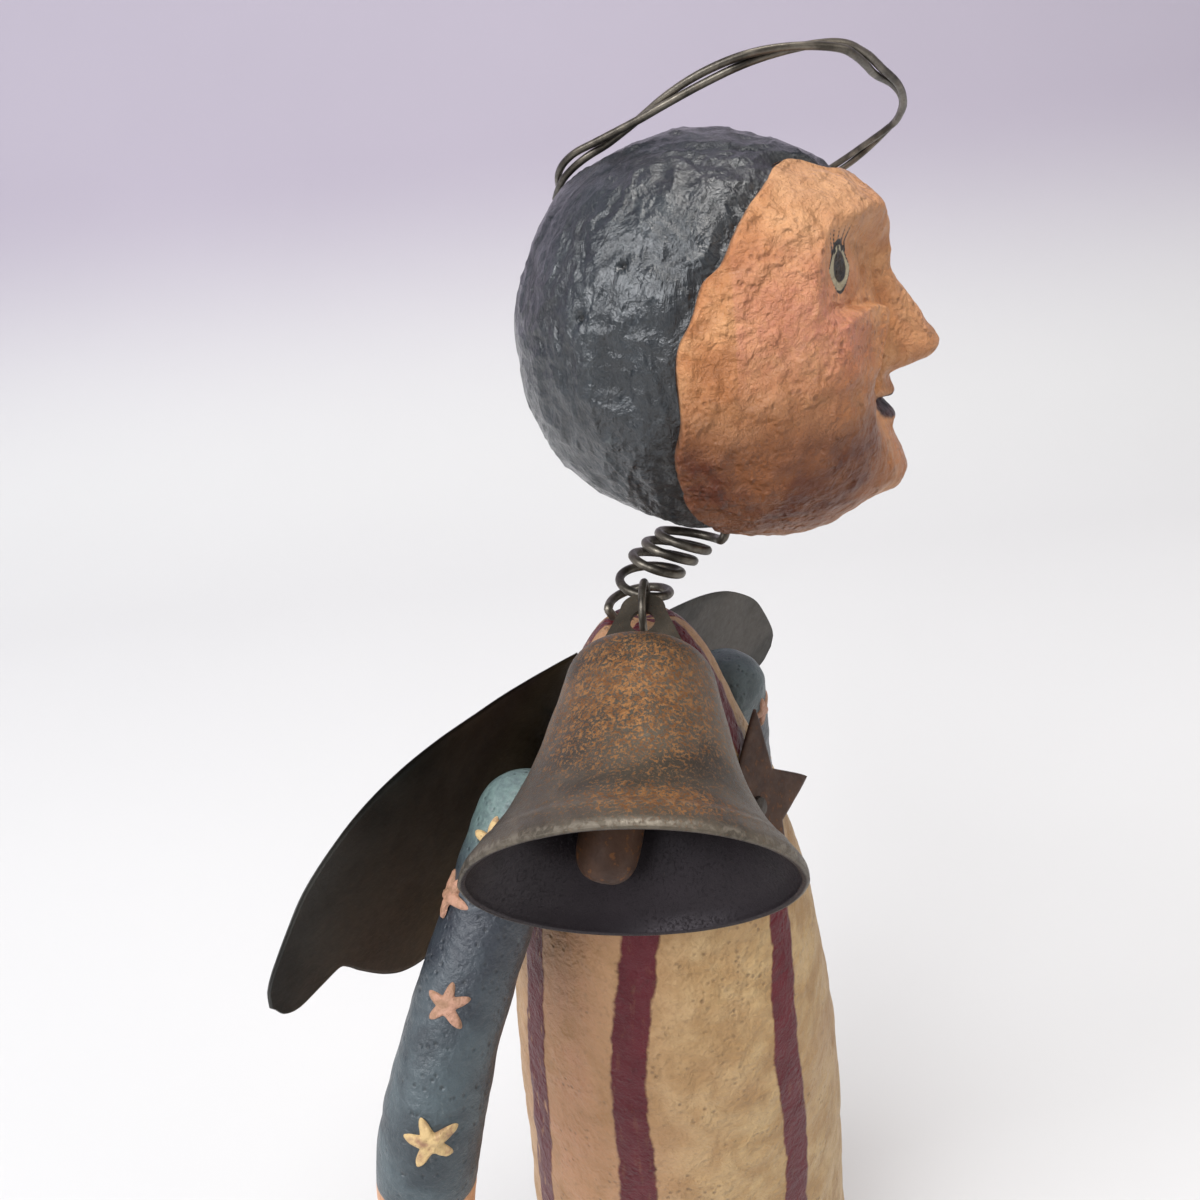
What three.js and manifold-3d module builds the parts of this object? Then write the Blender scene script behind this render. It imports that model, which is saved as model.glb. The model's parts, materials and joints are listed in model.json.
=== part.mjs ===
import * as THREE from 'three';
import { mergeVertices } from 'three/addons/utils/BufferGeometryUtils.js';
import Module from 'manifold-3d';

const wasm = await Module();
wasm.setup();

// Papier-mache angel doll. Millimetres, +Z up, the doll faces -Y and its left side is +X.
// The origin is the middle of the hem, on the floor.

// Gaps kept between pieces
const FIT_GAP = 0.3;
const SEAM_GAP = 0.36;

// Dress, a hollow moulded shell
const DRESS_HEIGHT = 218.4;
const HEM_RADIUS = 40;
const NECK_RADIUS = 6.2;
const DRESS_WALL = 3.2;
const NECK_SOLID = 22;
const DRESS_SIDES = 40;
// skirt: share of the height, share of the hem radius
const SKIRT_OUTLINE = [[0, 1], [0.05, 0.985], [0.14, 0.95], [0.28, 0.905], [0.4, 0.88], [0.54, 0.845]];
// bodice: drop below the neck, radius
const BODICE_OUTLINE = [
  [80.808, 32.2], [61.152, 29.08], [41.496, 23.92], [30.576, 20.4],
  [20.748, 17.04], [12.2304, 13.76], [6.1152, 10.88], [1.9656, 8.24]
];
const BASE_THICKNESS = 3;

// Wire of the arms, and the arms that turn on it
const ARM_WIRE_RADIUS = 0.8;
const SHOULDER_DROP = 27;
const SHOULDER_HEIGHT = DRESS_HEIGHT - SHOULDER_DROP;
const SHOULDER_BACK = 3;
const SHOULDER_CLEAR = 3.2;
const ARM_WIRE_GRIP = 12.5;
const SLEEVE_RADIUS = 8.1;
const SLEEVE_SIDES = 20;
// outward and downward from the shoulder, share of the sleeve radius
const SLEEVE_LENGTH = 59;
const SLEEVE_CURVE = [
  [0, 0, 1], [0.12, 0.15, 0.985], [0.22, 0.297, 0.955], [0.305, 0.43, 0.965], [0.378, 0.56, 1],
  [0.439, 0.695, 1.035], [0.49, 0.856, 1.02], [0.515, 1, 0.94]
];
const RIGHT_SPLAY = 1.14;
const LEFT_SPLAY = 0.5;
const RIGHT_RISE = 3;
const LEFT_RISE = -3;
const LEFT_SWING_DEG = 9;
const WRIST_RADIUS = 5.2;
const WRIST_DEPTH = 6;
const HAND_LENGTH = 25;
const HAND_WIDTH = 7.4;
const HAND_THICK = 4.8;
const STAR_THICK = 1.1;
const STAR_NOTCH = 0.52;
const STAR_MARKS = ['a', 'b', 'c', 'd', 'e'];
// share of the sleeve from the shoulder, turn round it (0 outward, 90 forward), radius, own turn
const RIGHT_STARS = [
  [0.43, 22, 3.8, 8], [0.71, 43, 4.3, 24], [0.21, -24, 3.8, 40], [0.07, 10, 3.6, 12], [0.57, 225, 3.9, 50]
];
const LEFT_STARS = [
  [0.07, 86, 3.8, 8], [0.79, 46, 4.2, 24], [0.36, -30, 3.8, 40], [0.57, 20, 3.9, 12], [0.64, 255, 3.9, 50]
];
const THUMB_RADIUS = 2.6;

// Tin wings and their nails
const WING_SPAN = 74.3;
const WING_THICK = 0.9;
const WING_MID_DROP = 33.4;
const WING_MID_HEIGHT = DRESS_HEIGHT - WING_MID_DROP;
// the wings are turned about this height above their middle
const WING_TURN_LIFT = 5;
const WING_CLEAR = 1.9;
const WING_SLOPE = 0.18;
const WING_CUP = 0.0012;
const WING_ROOT = 1.2;
// the top of the root is bent in against the back
const WING_TUCK = 0.0085;
const WING_TUCK_WIDTH = 13;
const LEFT_WING_DROP = 3;
const LEFT_WING_TURN_DEG = 3.5;
const NAIL_RADIUS = 0.7;
const NAIL_HEAD_RADIUS = 1.9;
const NAIL_HEAD_THICK = 0.8;
const NAIL_LENGTH = 8;
// name, side, share of the span, height above the middle of the wing
const WING_NAILS = [
  ['right_wing_nail_upper', -1, 0.045, 10], ['right_wing_nail_lower', -1, 0.045, -1],
  ['left_wing_nail_upper', 1, 0.045, 10], ['left_wing_nail_lower', 1, 0.045, -1]
];
// share of the span, height above the middle of the wing
const WING_UPPER = [
  [0, 23.5], [0.05, 23.4], [0.12, 22.7], [0.19, 22], [0.31, 21.5], [0.45, 21.6], [0.58, 21.1], [0.69, 19.5],
  [0.785, 16.5], [0.867, 12.7], [0.927, 7.8], [0.976, 2.9], [0.994, 0.2], [1, -2]
];
const WING_LOWER = [
  [0, -5.4], [0.06, -8], [0.13, -14.6], [0.2, -21], [0.27, -24], [0.34, -24.6], [0.395, -21.6],
  [0.45, -25], [0.53, -26.4], [0.61, -24.4], [0.68, -20.2], [0.75, -14], [0.785, -10.4], [0.81, -8.9],
  [0.87, -9], [0.93, -9], [0.968, -7.4], [0.99, -4.6], [1, -3.4]
];

// Tin star on the chest
const CHEST_STAR_RADIUS = 17.4;
const CHEST_STAR_NOTCH = 0.465;
const CHEST_STAR_THICK = 0.9;
const CHEST_STAR_DROP = 31.6;
const CHEST_STAR_HEIGHT = DRESS_HEIGHT - CHEST_STAR_DROP;
const CHEST_STAR_TURN_DEG = 30;
const CHEST_STAR_LEAN_DEG = 18.5;
const CHEST_STAR_SIDE_DEG = 1.2;
const CHEST_STAR_STANDOFF = 0.9;

// Neck spring
const SPRING_WIRE_RADIUS = 0.78;
const SPRING_RADIUS = 4.8;
const SPRING_TURNS = 4.5;
const SPRING_FOOT = [0.767, 1.216];
const SPRING_RUN = [6.8, -8.3];
// turn from the foot, height over the neck; the lowest curl is drawn open by the bell
const SPRING_RISE = [[0, 2.4], [0.4, 3.9], [0.75, 5.88], [1.25, 8.05], [1.75, 9.6], [2.75, 11.85], [4.5, 14.7]];
const SPRING_TOP_NORMAL = [0.36, -0.1, 0.92];
// the curls lie level up to this share of the turns, then take on the lean of the top at this rate
const SPRING_LEVEL_SHARE = 0.1;
const SPRING_LEAN_RATE = 3;
const SPRING_AZIMUTH_DEG = -50.5;
const SPRING_STEPS = 12;
const SPRING_SIDES = 6;
const SPRING_FOOT_DEPTH = 10.5;
const SPRING_TOP_DEPTH = 6;

// Head: a paper ball with a hair layer and a face layer over it
const HEAD_CENTRE = [12.8, -9.7, 46.9];
const HEAD_TURN_DEG = 39.5;
const HEAD_BACK = 31;
const HEAD_WIDTH = 28.8;
// outline of the head from the side: angle over straight ahead in degrees, reach from the middle
const HEAD_OUTLINE = [
  [-180, 31], [-146, 31.2], [-117, 30.1], [-100, 30.8], [-90, 31.7], [-80, 32.9], [-67, 34.8], [-52, 35.9],
  [-44, 35.4], [-36, 33.4], [-29, 31.4], [-22, 29.5], [-16, 28.4], [-8, 27.8], [0, 27.6], [8, 27.8], [16, 28.4],
  [25, 29.5], [33, 30.3], [41, 30.6], [49, 29.8], [60, 29], [74, 28.9], [90, 29.8], [114, 31], [130, 31.8],
  [150, 31.5], [180, 31]
];
const CORE_RADIUS = 24.4;
const HAIR_SINK = 0.5;
const NOSE_LENGTH = 7.2;
const NOSE_LIFT_DEG = -5;
const CHIN_LENGTH = 4.6;
const CHIN_LIFT_DEG = -39;
const FACE_RINGS = 20;
const HAIR_RINGS = 18;
const HEAD_SIDES = 36;
// turn round the face axis from straight up, opening of the hairline from that axis, in degrees
const HAIRLINE = [
  [0, 50], [12, 52], [17, 56.5], [20, 66], [23, 72], [28.5, 75.6], [37, 78.6], [43, 82.8], [51, 87], [61, 92.5],
  [66, 98.6], [75, 102.2], [84, 106],
  [105, 106], [116, 108], [131, 107], [142, 102], [153, 97], [180, 92]
];

// Halo, one wire wound twice and both ends set in the hair
const HALO_WIRE_RADIUS = 0.54;
const HALO_RADIUS = 28.2;
const HALO_PITCH = 1.6;
const HALO_CENTRE = [15.8, 6.5, 25.1];
const HALO_RIGHT = [0.71, -0.69, 0.14];
const HALO_NEAR = [-0.67, -0.6, 0.43];
const HALO_START_DEG = 205;
const HALO_STEPS = 32;
const HALO_TURNS = 1.9;
const HALO_SET = 4.2;
// bends of the hand-wound ring: angle from its right end in degrees, share of its radius
const HALO_BENDS = [
  [0, 1.025], [6, 1.01], [18, 0.967], [37, 0.922], [54, 0.975], [65, 1.03], [84, 1.048], [94, 1.038], [104, 1.001],
  [117, 0.948], [129, 0.918], [141, 0.947], [150, 1.014], [159, 1.036], [169, 1.02], [190, 1], [324, 1],
  [342, 1.008], [354, 1.037], [360, 1.025]
];

// Bell
const BELL_TURN_DEG = 57.5;
const BELL_LEAN_DEG = 58.6;
const BELL_MOUTH_RADIUS = 24.2;
const BELL_DEPTH = 36.8;
const BELL_WALL = 1;
const BELL_SIDES = 36;
const CROWN_DROP = 6.8;
// share of the mouth radius, share of the depth
const BELL_OUTLINE = [
  [0.312, 0], [0.385, 0.016], [0.442, 0.05], [0.48, 0.098], [0.504, 0.165], [0.528, 0.245],
  [0.574, 0.37], [0.622, 0.5], [0.688, 0.635], [0.78, 0.765], [0.88, 0.862], [0.955, 0.928],
  [0.99, 0.975], [1, 1]
];
const EAR_BASE = 14.6;
const EAR_TOP = 7.6;
const EAR_RISE = 5.2;
const EAR_THICK = 0.9;
const EAR_HOLE_RADIUS = 2.05;
const HOOK_WIRE_RADIUS = 0.65;
const HOOK_RADIUS = 4.6;
const HOOK_HANG_DEG = -28;
const HOOK_SEAT_DEG = 3;
const HOOK_SPAN_DEG = [-24, 205];
const EAR_HANG = 0.35;

// Clapper
const STAPLE_WIRE_RADIUS = 0.5;
const STAPLE_HALF = 2.1;
const STAPLE_DROP = 3.4;
const CLAPPER_EYE_RADIUS = 1.6;
const CLAPPER_WIRE_RADIUS = 0.5;
const CLAPPER_REACH = 14.2;
const BOB_RADIUS = 4.9;
const BOB_LENGTH = 15;
const CLAPPER_LEAN_DEG = 23;
const CLAPPER_SIDE_DEG = 12;

// Colours
const CREAM = 0xcdb48a;
const SLATE = 0x3f5866;
const FLESH = 0xc98755;
const CLAY = 0xc2a06a;
const TIN_DARK = 0x2c2722;
const TIN_RUST = 0x5a382b;
const WIRE = 0x45403a;
const HAIR = 0x262d35;
const BRONZE = 0x4a3d2e;

const V = (x, y, z) => new THREE.Vector3(x, y, z);
const vec = (a) => new THREE.Vector3(a[0], a[1], a[2]);
const rad = (deg) => deg * Math.PI / 180;
const UP = V(0, 0, 1);

function lerpTable(table, key) {
  if (key <= table[0][0]) return table[0][1];
  for (let i = 1; i < table.length; i += 1) {
    if (key <= table[i][0]) {
      const share = (key - table[i - 1][0]) / (table[i][0] - table[i - 1][0]);
      return table[i - 1][1] + share * (table[i][1] - table[i - 1][1]);
    }
  }
  return table[table.length - 1][1];
}

function smooth(points, count) {
  const curve = new THREE.SplineCurve(points.map((p) => new THREE.Vector2(p[0], p[1])));
  return curve.getPoints(count).map((p) => [p.x, p.y]);
}

// Plain indexed solid with shared corners
function solid(geometry) {
  const bare = geometry.clone();
  bare.deleteAttribute('normal');
  bare.deleteAttribute('uv');
  return mergeVertices(bare, 1e-4);
}

function facesToGeometry(points, faces) {
  const geometry = new THREE.BufferGeometry();
  const flat = new Float32Array(points.length * 3);
  points.forEach((p, i) => p.toArray(flat, i * 3));
  geometry.setAttribute('position', new THREE.BufferAttribute(flat, 3));
  geometry.setIndex(faces.flat());
  return geometry;
}

function toManifold(geometry) {
  const bare = solid(geometry);
  const mesh = new wasm.Mesh({
    numProp: 3,
    vertProperties: new Float32Array(bare.attributes.position.array),
    triVerts: new Uint32Array(bare.index.array)
  });
  return new wasm.Manifold(mesh);
}

function fromManifold(body) {
  const mesh = body.getMesh();
  const geometry = new THREE.BufferGeometry();
  geometry.setAttribute('position', new THREE.BufferAttribute(new Float32Array(mesh.vertProperties), 3));
  geometry.setIndex(new THREE.BufferAttribute(new Uint32Array(mesh.triVerts), 1));
  return geometry;
}

function cut(geometry, tools) {
  const body = tools.reduce((left, tool) => left.subtract(toManifold(tool)), toManifold(geometry));
  return fromManifold(body);
}

function join(geometry, others) {
  const body = others.reduce((left, other) => left.add(toManifold(other)), toManifold(geometry));
  return fromManifold(body);
}

// Lathe profile given as radius and height, turned round +Z
function turned(profile, sides) {
  const outline = profile.map((p) => new THREE.Vector2(Math.max(p[0], 0), p[1]));
  const geometry = new THREE.LatheGeometry(outline, sides);
  geometry.rotateX(Math.PI / 2);
  return solid(geometry);
}

// Rings of points joined to one closed skin
function skin(rings) {
  const points = rings.flat();
  const sides = rings[0].length;
  const faces = [];
  for (let i = 0; i + 1 < rings.length; i += 1) {
    for (let j = 0; j < sides; j += 1) {
      const a = i * sides + j;
      const b = i * sides + (j + 1) % sides;
      faces.push([a, b, b + sides]);
      faces.push([a, b + sides, a + sides]);
    }
  }
  const last = (rings.length - 1) * sides;
  const first = points.length;
  const middle = (ring) => ring.reduce((sum, p) => sum.add(p), V(0, 0, 0)).divideScalar(ring.length);
  points.push(middle(rings[0]));
  points.push(middle(rings[rings.length - 1]));
  for (let j = 0; j < sides; j += 1) {
    const k = (j + 1) % sides;
    faces.push([first, k, j]);
    faces.push([first + 1, last + j, last + k]);
  }
  return facesToGeometry(points, faces);
}

// Tube swept along points with a carried frame
function tube(path, radius, sides) {
  const tangents = path.map((p, i) => {
    const before = path[Math.max(i - 1, 0)];
    const after = path[Math.min(i + 1, path.length - 1)];
    return after.clone().sub(before).normalize();
  });
  const start = Math.abs(tangents[0].z) < 0.8 ? UP : V(1, 0, 0);
  let side = start.clone().cross(tangents[0]).normalize();
  const rings = path.map((p, i) => {
    side = side.clone().addScaledVector(tangents[i], -side.dot(tangents[i])).normalize();
    const other = tangents[i].clone().cross(side);
    const ring = [];
    for (let j = 0; j < sides; j += 1) {
      const turn = 2 * Math.PI * j / sides;
      const spoke = side.clone().multiplyScalar(Math.cos(turn)).addScaledVector(other, Math.sin(turn));
      ring.push(p.clone().addScaledVector(spoke, radius));
    }
    return ring;
  });
  return skin(rings);
}

function rod(from, to, radius, sides) {
  return tube([from, to], radius, sides);
}

function throughPoints(points, count) {
  return new THREE.CatmullRomCurve3(points, false, 'centripetal').getSpacedPoints(count);
}

// Least distance of a wire to itself, neighbours along the wire left out
function leastGap(path, radius, skip) {
  let least = Infinity;
  for (let i = 0; i < path.length; i += 1) {
    for (let j = i + skip; j < path.length; j += 1) {
      least = Math.min(least, path[i].distanceTo(path[j]) - 2 * radius);
    }
  }
  return least;
}

// Five-pointed outline
function starShape(radius, notch, wobble) {
  const shape = new THREE.Shape();
  for (let i = 0; i < 10; i += 1) {
    const reach = (i % 2 ? radius * notch : radius) * (1 + wobble * Math.sin(2.3 * i + 0.7));
    const turn = Math.PI * i / 5;
    const x = reach * Math.sin(turn);
    const y = reach * Math.cos(turn);
    if (i === 0) shape.moveTo(x, y);
    else shape.lineTo(x, y);
  }
  shape.closePath();
  return shape;
}

function plate(shape, thick) {
  const geometry = new THREE.ExtrudeGeometry(shape, { depth: thick, bevelEnabled: false, curveSegments: 14 });
  return solid(geometry);
}

// Places a piece made round its own axes
function placed(geometry, origin, xAxis, yAxis, zAxis) {
  const frame = new THREE.Matrix4().makeBasis(xAxis, yAxis, zAxis);
  frame.setPosition(origin);
  return geometry.clone().applyMatrix4(frame);
}

const doll = new THREE.Group();
doll.name = 'folk_art_doll';

function addPiece(name, geometry, colour, roughness, metalness) {
  const material = new THREE.MeshStandardMaterial({ color: colour, roughness, metalness });
  const shown = geometry.clone();
  shown.computeVertexNormals();
  const mesh = new THREE.Mesh(shown, material);
  mesh.name = name;
  doll.add(mesh);
}

// Dress

const dressRows = [
  ...SKIRT_OUTLINE.map((p) => [p[1] * HEM_RADIUS, p[0] * DRESS_HEIGHT]),
  ...BODICE_OUTLINE.map((p) => [p[1], DRESS_HEIGHT - p[0]]),
  [NECK_RADIUS, DRESS_HEIGHT]
];
const dressOuter = smooth(dressRows, 24);
const dressTable = dressOuter.map((p) => [p[1], p[0]]);
const dressRadius = (z) => lerpTable(dressTable, z);
const cavityTop = DRESS_HEIGHT - NECK_SOLID;
const dressInner = [0, 0.2, 0.4, 0.55, 0.67, 0.77, 0.85, 0.92, 1].map((share) => {
  const z = share * cavityTop;
  return [dressRadius(z) - DRESS_WALL, z];
});
const dressProfile = [[0, cavityTop]]
  .concat(dressInner.slice().reverse())
  .concat(dressOuter)
  .concat([[0, DRESS_HEIGHT]]);
const dressBlank = turned(dressProfile, DRESS_SIDES);

// Arms: the wire, the sleeves, the hands and the clay stars

const shoulderReach = dressRadius(SHOULDER_HEIGHT) + SHOULDER_CLEAR + SLEEVE_RADIUS;
const armWireEnd = shoulderReach - SLEEVE_RADIUS + ARM_WIRE_GRIP;
const shoulderAt = (x) => V(x, SHOULDER_BACK, SHOULDER_HEIGHT);

function sleevePath(side, splay, rise, swingDeg) {
  const pivot = shoulderAt(0);
  const points = SLEEVE_CURVE.map((p) => {
    const out = shoulderReach + p[0] * SLEEVE_LENGTH * splay;
    const spot = V(side * out, 0, rise - p[1] * SLEEVE_LENGTH);
    spot.applyAxisAngle(V(1, 0, 0), rad(swingDeg));
    return spot.add(pivot);
  });
  const path = throughPoints(points, 14);
  const girth = smooth(SLEEVE_CURVE.map((p) => [p[1], p[2]]), 14).map((p) => p[1]);
  return { path, girth, side };
}

function sleeveFrames(arm) {
  const { path, side } = arm;
  return path.map((p, i) => {
    const before = path[Math.max(i - 1, 0)];
    const after = path[Math.min(i + 1, path.length - 1)];
    const along = after.clone().sub(before).normalize();
    const ahead = V(0, -1, 0).addScaledVector(along, along.y).normalize();
    const across = ahead.clone().cross(along);
    const outward = across.clone().multiplyScalar(side);
    return { at: p, along, ahead, across, outward };
  });
}

function ringAt(centre, first, second, a, b, sides) {
  const ring = [];
  for (let j = 0; j < sides; j += 1) {
    const turn = 2 * Math.PI * j / sides;
    const spoke = first.clone().multiplyScalar(a * Math.cos(turn));
    ring.push(centre.clone().add(spoke).addScaledVector(second, b * Math.sin(turn)));
  }
  return ring;
}

function sleeveBlank(arm) {
  const frames = sleeveFrames(arm);
  const top = frames[0];
  const rings = [0.26, 0.52, 0.76, 0.93].map((share) => {
    const lift = SLEEVE_RADIUS * Math.sqrt(1 - share * share);
    const centre = top.at.clone().addScaledVector(top.along, -lift);
    return ringAt(centre, top.across, top.ahead, SLEEVE_RADIUS * share, SLEEVE_RADIUS * share, SLEEVE_SIDES);
  });
  frames.forEach((f, i) => {
    const girth = SLEEVE_RADIUS * arm.girth[i];
    rings.push(ringAt(f.at, f.across, f.ahead, girth, girth, SLEEVE_SIDES));
  });
  return skin(rings);
}

function wristSocket(arm) {
  const frames = sleeveFrames(arm);
  const end = frames[frames.length - 1];
  const inner = end.at.clone().addScaledVector(end.along, -WRIST_DEPTH - FIT_GAP);
  const outer = end.at.clone().addScaledVector(end.along, 2);
  return rod(inner, outer, WRIST_RADIUS + FIT_GAP, 16);
}

function handBlank(arm) {
  const frames = sleeveFrames(arm);
  const end = frames[frames.length - 1];
  const cuff = SLEEVE_RADIUS * arm.girth[arm.girth.length - 1];
  const step = (d) => end.at.clone().addScaledVector(end.along, d);
  const shapes = [
    [-WRIST_DEPTH, WRIST_RADIUS, WRIST_RADIUS], [FIT_GAP, WRIST_RADIUS, WRIST_RADIUS],
    [FIT_GAP + 0.05, cuff - 0.6, cuff - 0.6],
    [HAND_LENGTH * 0.16, cuff - 1, cuff - 1],
    [HAND_LENGTH * 0.34, HAND_WIDTH * 0.92, HAND_THICK * 1.05], [HAND_LENGTH * 0.56, HAND_WIDTH, HAND_THICK],
    [HAND_LENGTH * 0.78, HAND_WIDTH * 0.82, HAND_THICK * 0.8],
    [HAND_LENGTH * 0.93, HAND_WIDTH * 0.52, HAND_THICK * 0.52],
    [HAND_LENGTH, HAND_WIDTH * 0.2, HAND_THICK * 0.2]
  ];
  const palm = skin(shapes.map((s) => ringAt(step(s[0]), end.across, end.ahead, s[2], s[1], 16)));
  const thumbFoot = step(HAND_LENGTH * 0.36).addScaledVector(end.ahead, HAND_WIDTH * 0.5);
  const thumbTip = step(HAND_LENGTH * 0.66).addScaledVector(end.ahead, HAND_WIDTH * 1.25);
  const thumbMid = thumbFoot.clone().lerp(thumbTip, 0.7);
  const thumbAlong = thumbTip.clone().sub(thumbFoot).normalize();
  const thumbSide = end.across.clone();
  const thumbOther = thumbAlong.clone().cross(thumbSide);
  const thumb = skin([
    ringAt(thumbFoot, thumbSide, thumbOther, THUMB_RADIUS, THUMB_RADIUS, 10),
    ringAt(thumbMid, thumbSide, thumbOther, THUMB_RADIUS * 0.88, THUMB_RADIUS * 0.88, 10),
    ringAt(thumbTip, thumbSide, thumbOther, THUMB_RADIUS * 0.4, THUMB_RADIUS * 0.4, 10)
  ]);
  return join(palm, [thumb]);
}

// A clay star lies on the sleeve: share along the sleeve, turn round it, radius, own turn
function sleeveStar(arm, share, turnDeg, radius, spinDeg) {
  const frames = sleeveFrames(arm);
  const step = Math.round(share * (frames.length - 1));
  const f = frames[step];
  const girth = SLEEVE_RADIUS * arm.girth[step] * 1.01;
  const out = f.outward.clone().multiplyScalar(Math.cos(rad(turnDeg)));
  out.addScaledVector(f.ahead, Math.sin(rad(turnDeg))).normalize();
  const spin = new THREE.Quaternion().setFromAxisAngle(out, rad(spinDeg));
  const yAxis = f.along.clone().negate().applyQuaternion(spin);
  const xAxis = yAxis.clone().cross(out);
  const seat = f.at.clone().addScaledVector(out, girth + FIT_GAP);
  return placed(plate(starShape(radius, STAR_NOTCH, 0.06), STAR_THICK), seat, xAxis, yAxis, out);
}

const rightArm = sleevePath(-1, RIGHT_SPLAY, RIGHT_RISE, 0);
const leftArm = sleevePath(1, LEFT_SPLAY, LEFT_RISE, LEFT_SWING_DEG);
const armWire = rod(shoulderAt(-armWireEnd), shoulderAt(armWireEnd), ARM_WIRE_RADIUS, 12);
const armBore = rod(
  shoulderAt(-armWireEnd - FIT_GAP), shoulderAt(armWireEnd + FIT_GAP), ARM_WIRE_RADIUS + FIT_GAP + 0.1, 12
);


// Wings

const wingMiddle = dressRadius(WING_MID_HEIGHT) + WING_CLEAR;
const wingTuck = (x, z) => {
  const over = Math.max(z - WING_MID_HEIGHT - 1, 0);
  return WING_TUCK * over * over * Math.exp(-((x / WING_TUCK_WIDTH) ** 2));
};
const wingBack = (x, z) => wingMiddle + WING_SLOPE * (WING_MID_HEIGHT - z) - WING_CUP * x * x - wingTuck(x, z);
const wingFacing = (x, z) => {
  const step = 0.5;
  const acrossRise = (wingBack(x + step, z) - wingBack(x - step, z)) / (2 * step);
  const upRise = (wingBack(x, z + step) - wingBack(x, z - step)) / (2 * step);
  return V(-acrossRise, 1, -upRise).normalize();
};

function wingSpot(side, share, height, drop, turnDeg) {
  const out = WING_ROOT + share * (WING_SPAN - WING_ROOT);
  const lift = height - WING_TURN_LIFT;
  const turnedOut = out * Math.cos(rad(turnDeg)) + lift * Math.sin(rad(turnDeg));
  const turnedLift = lift * Math.cos(rad(turnDeg)) - out * Math.sin(rad(turnDeg));
  return { x: side * turnedOut, z: WING_MID_HEIGHT + WING_TURN_LIFT + turnedLift - drop };
}

function wingSheet(side, drop, turnDeg) {
  const columns = 24;
  const rows = 5;
  const points = [];
  for (let face = 0; face < 2; face += 1) {
    for (let i = 0; i <= columns; i += 1) {
      const share = Math.sin(Math.PI / 2 * i / columns) ** 0.9;
      const upper = lerpTable(WING_UPPER, share);
      const lower = lerpTable(WING_LOWER, share);
      for (let j = 0; j <= rows; j += 1) {
        const spot = wingSpot(side, share, lower + (upper - lower) * j / rows, drop, turnDeg);
        points.push(V(spot.x, wingBack(spot.x, spot.z) + (face - 0.5) * WING_THICK, spot.z));
      }
    }
  }
  const across = rows + 1;
  const half = (columns + 1) * across;
  const faces = [];
  const quad = (a, b, c, d) => {
    const order = side > 0 ? [[a, b, c], [a, c, d]] : [[a, c, b], [a, d, c]];
    faces.push(...order);
  };
  for (let i = 0; i < columns; i += 1) {
    for (let j = 0; j < rows; j += 1) {
      const a = i * across + j;
      quad(a, a + across, a + across + 1, a + 1);
      quad(half + a, half + a + 1, half + a + across + 1, half + a + across);
    }
    const low = i * across;
    const high = low + rows;
    quad(low, half + low, half + low + across, low + across);
    quad(high, high + across, half + high + across, half + high);
  }
  for (let j = 0; j < rows; j += 1) {
    const end = columns * across + j;
    quad(j, j + 1, half + j + 1, half + j);
    quad(end, half + end, half + end + 1, end + 1);
  }
  return facesToGeometry(points, faces);
}

// Nail along -Z of its own axes, underside of its head at zero
function nailBlank(length) {
  return turned([
    [0, -length], [NAIL_RADIUS, -length + 1.2], [NAIL_RADIUS, 0], [NAIL_HEAD_RADIUS, 0],
    [NAIL_HEAD_RADIUS * 0.9, NAIL_HEAD_THICK * 0.7], [0, NAIL_HEAD_THICK]
  ], 12);
}

function nailBore(length) {
  return turned([
    [0, -length - 1], [NAIL_RADIUS + FIT_GAP, -length - 1], [NAIL_RADIUS + FIT_GAP, 3], [0, 3]
  ], 12);
}

function wingNail(blank, side, share, height, drop, turnDeg) {
  const spot = wingSpot(side, share, height, drop, turnDeg);
  const wingOut = wingFacing(spot.x, spot.z);
  const wingUp = UP.clone().addScaledVector(wingOut, -wingOut.z).normalize();
  const seat = V(spot.x, wingBack(spot.x, spot.z), spot.z);
  seat.addScaledVector(wingOut, WING_THICK / 2 + FIT_GAP);
  return placed(blank, seat, wingUp.clone().cross(wingOut), wingUp, wingOut);
}

const wingSet = (side) => (side < 0 ? [0, 0] : [LEFT_WING_DROP, LEFT_WING_TURN_DEG]);
const wingNails = WING_NAILS.map((n) => {
  const [drop, turnDeg] = wingSet(n[1]);
  return {
    name: n[0],
    side: n[1],
    nail: wingNail(nailBlank(NAIL_LENGTH), n[1], n[2], n[3], drop, turnDeg),
    bore: wingNail(nailBore(NAIL_LENGTH), n[1], n[2], n[3], drop, turnDeg)
  };
});
const boresOf = (side) => wingNails.filter((n) => n.side === side).map((n) => n.bore);

// Chest star, flat against the slope of the dress

const starSide = rad(CHEST_STAR_SIDE_DEG);
const starLean = rad(CHEST_STAR_LEAN_DEG);
const starFlat = V(Math.sin(starSide), -Math.cos(starSide), 0);
const starOut = starFlat.clone().multiplyScalar(Math.cos(starLean)).addScaledVector(UP, Math.sin(starLean));
const starUpright = UP.clone().multiplyScalar(Math.cos(starLean));
starUpright.addScaledVector(starFlat, -Math.sin(starLean));
const starUp = starUpright.clone().applyAxisAngle(starOut, rad(-CHEST_STAR_TURN_DEG));
const starAcross = starUp.clone().cross(starOut);
const starSeat = starFlat.clone().multiplyScalar(dressRadius(CHEST_STAR_HEIGHT) + CHEST_STAR_STANDOFF);
starSeat.z = CHEST_STAR_HEIGHT;
const starNailSeat = starSeat.clone().addScaledVector(starOut, CHEST_STAR_THICK + FIT_GAP);
const starNail = placed(nailBlank(NAIL_LENGTH), starNailSeat, starAcross, starUp, starOut);
const starBore = placed(nailBore(NAIL_LENGTH), starNailSeat, starAcross, starUp, starOut);

// Neck spring: its foot runs down into the neck, its top end up into the head

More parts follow.
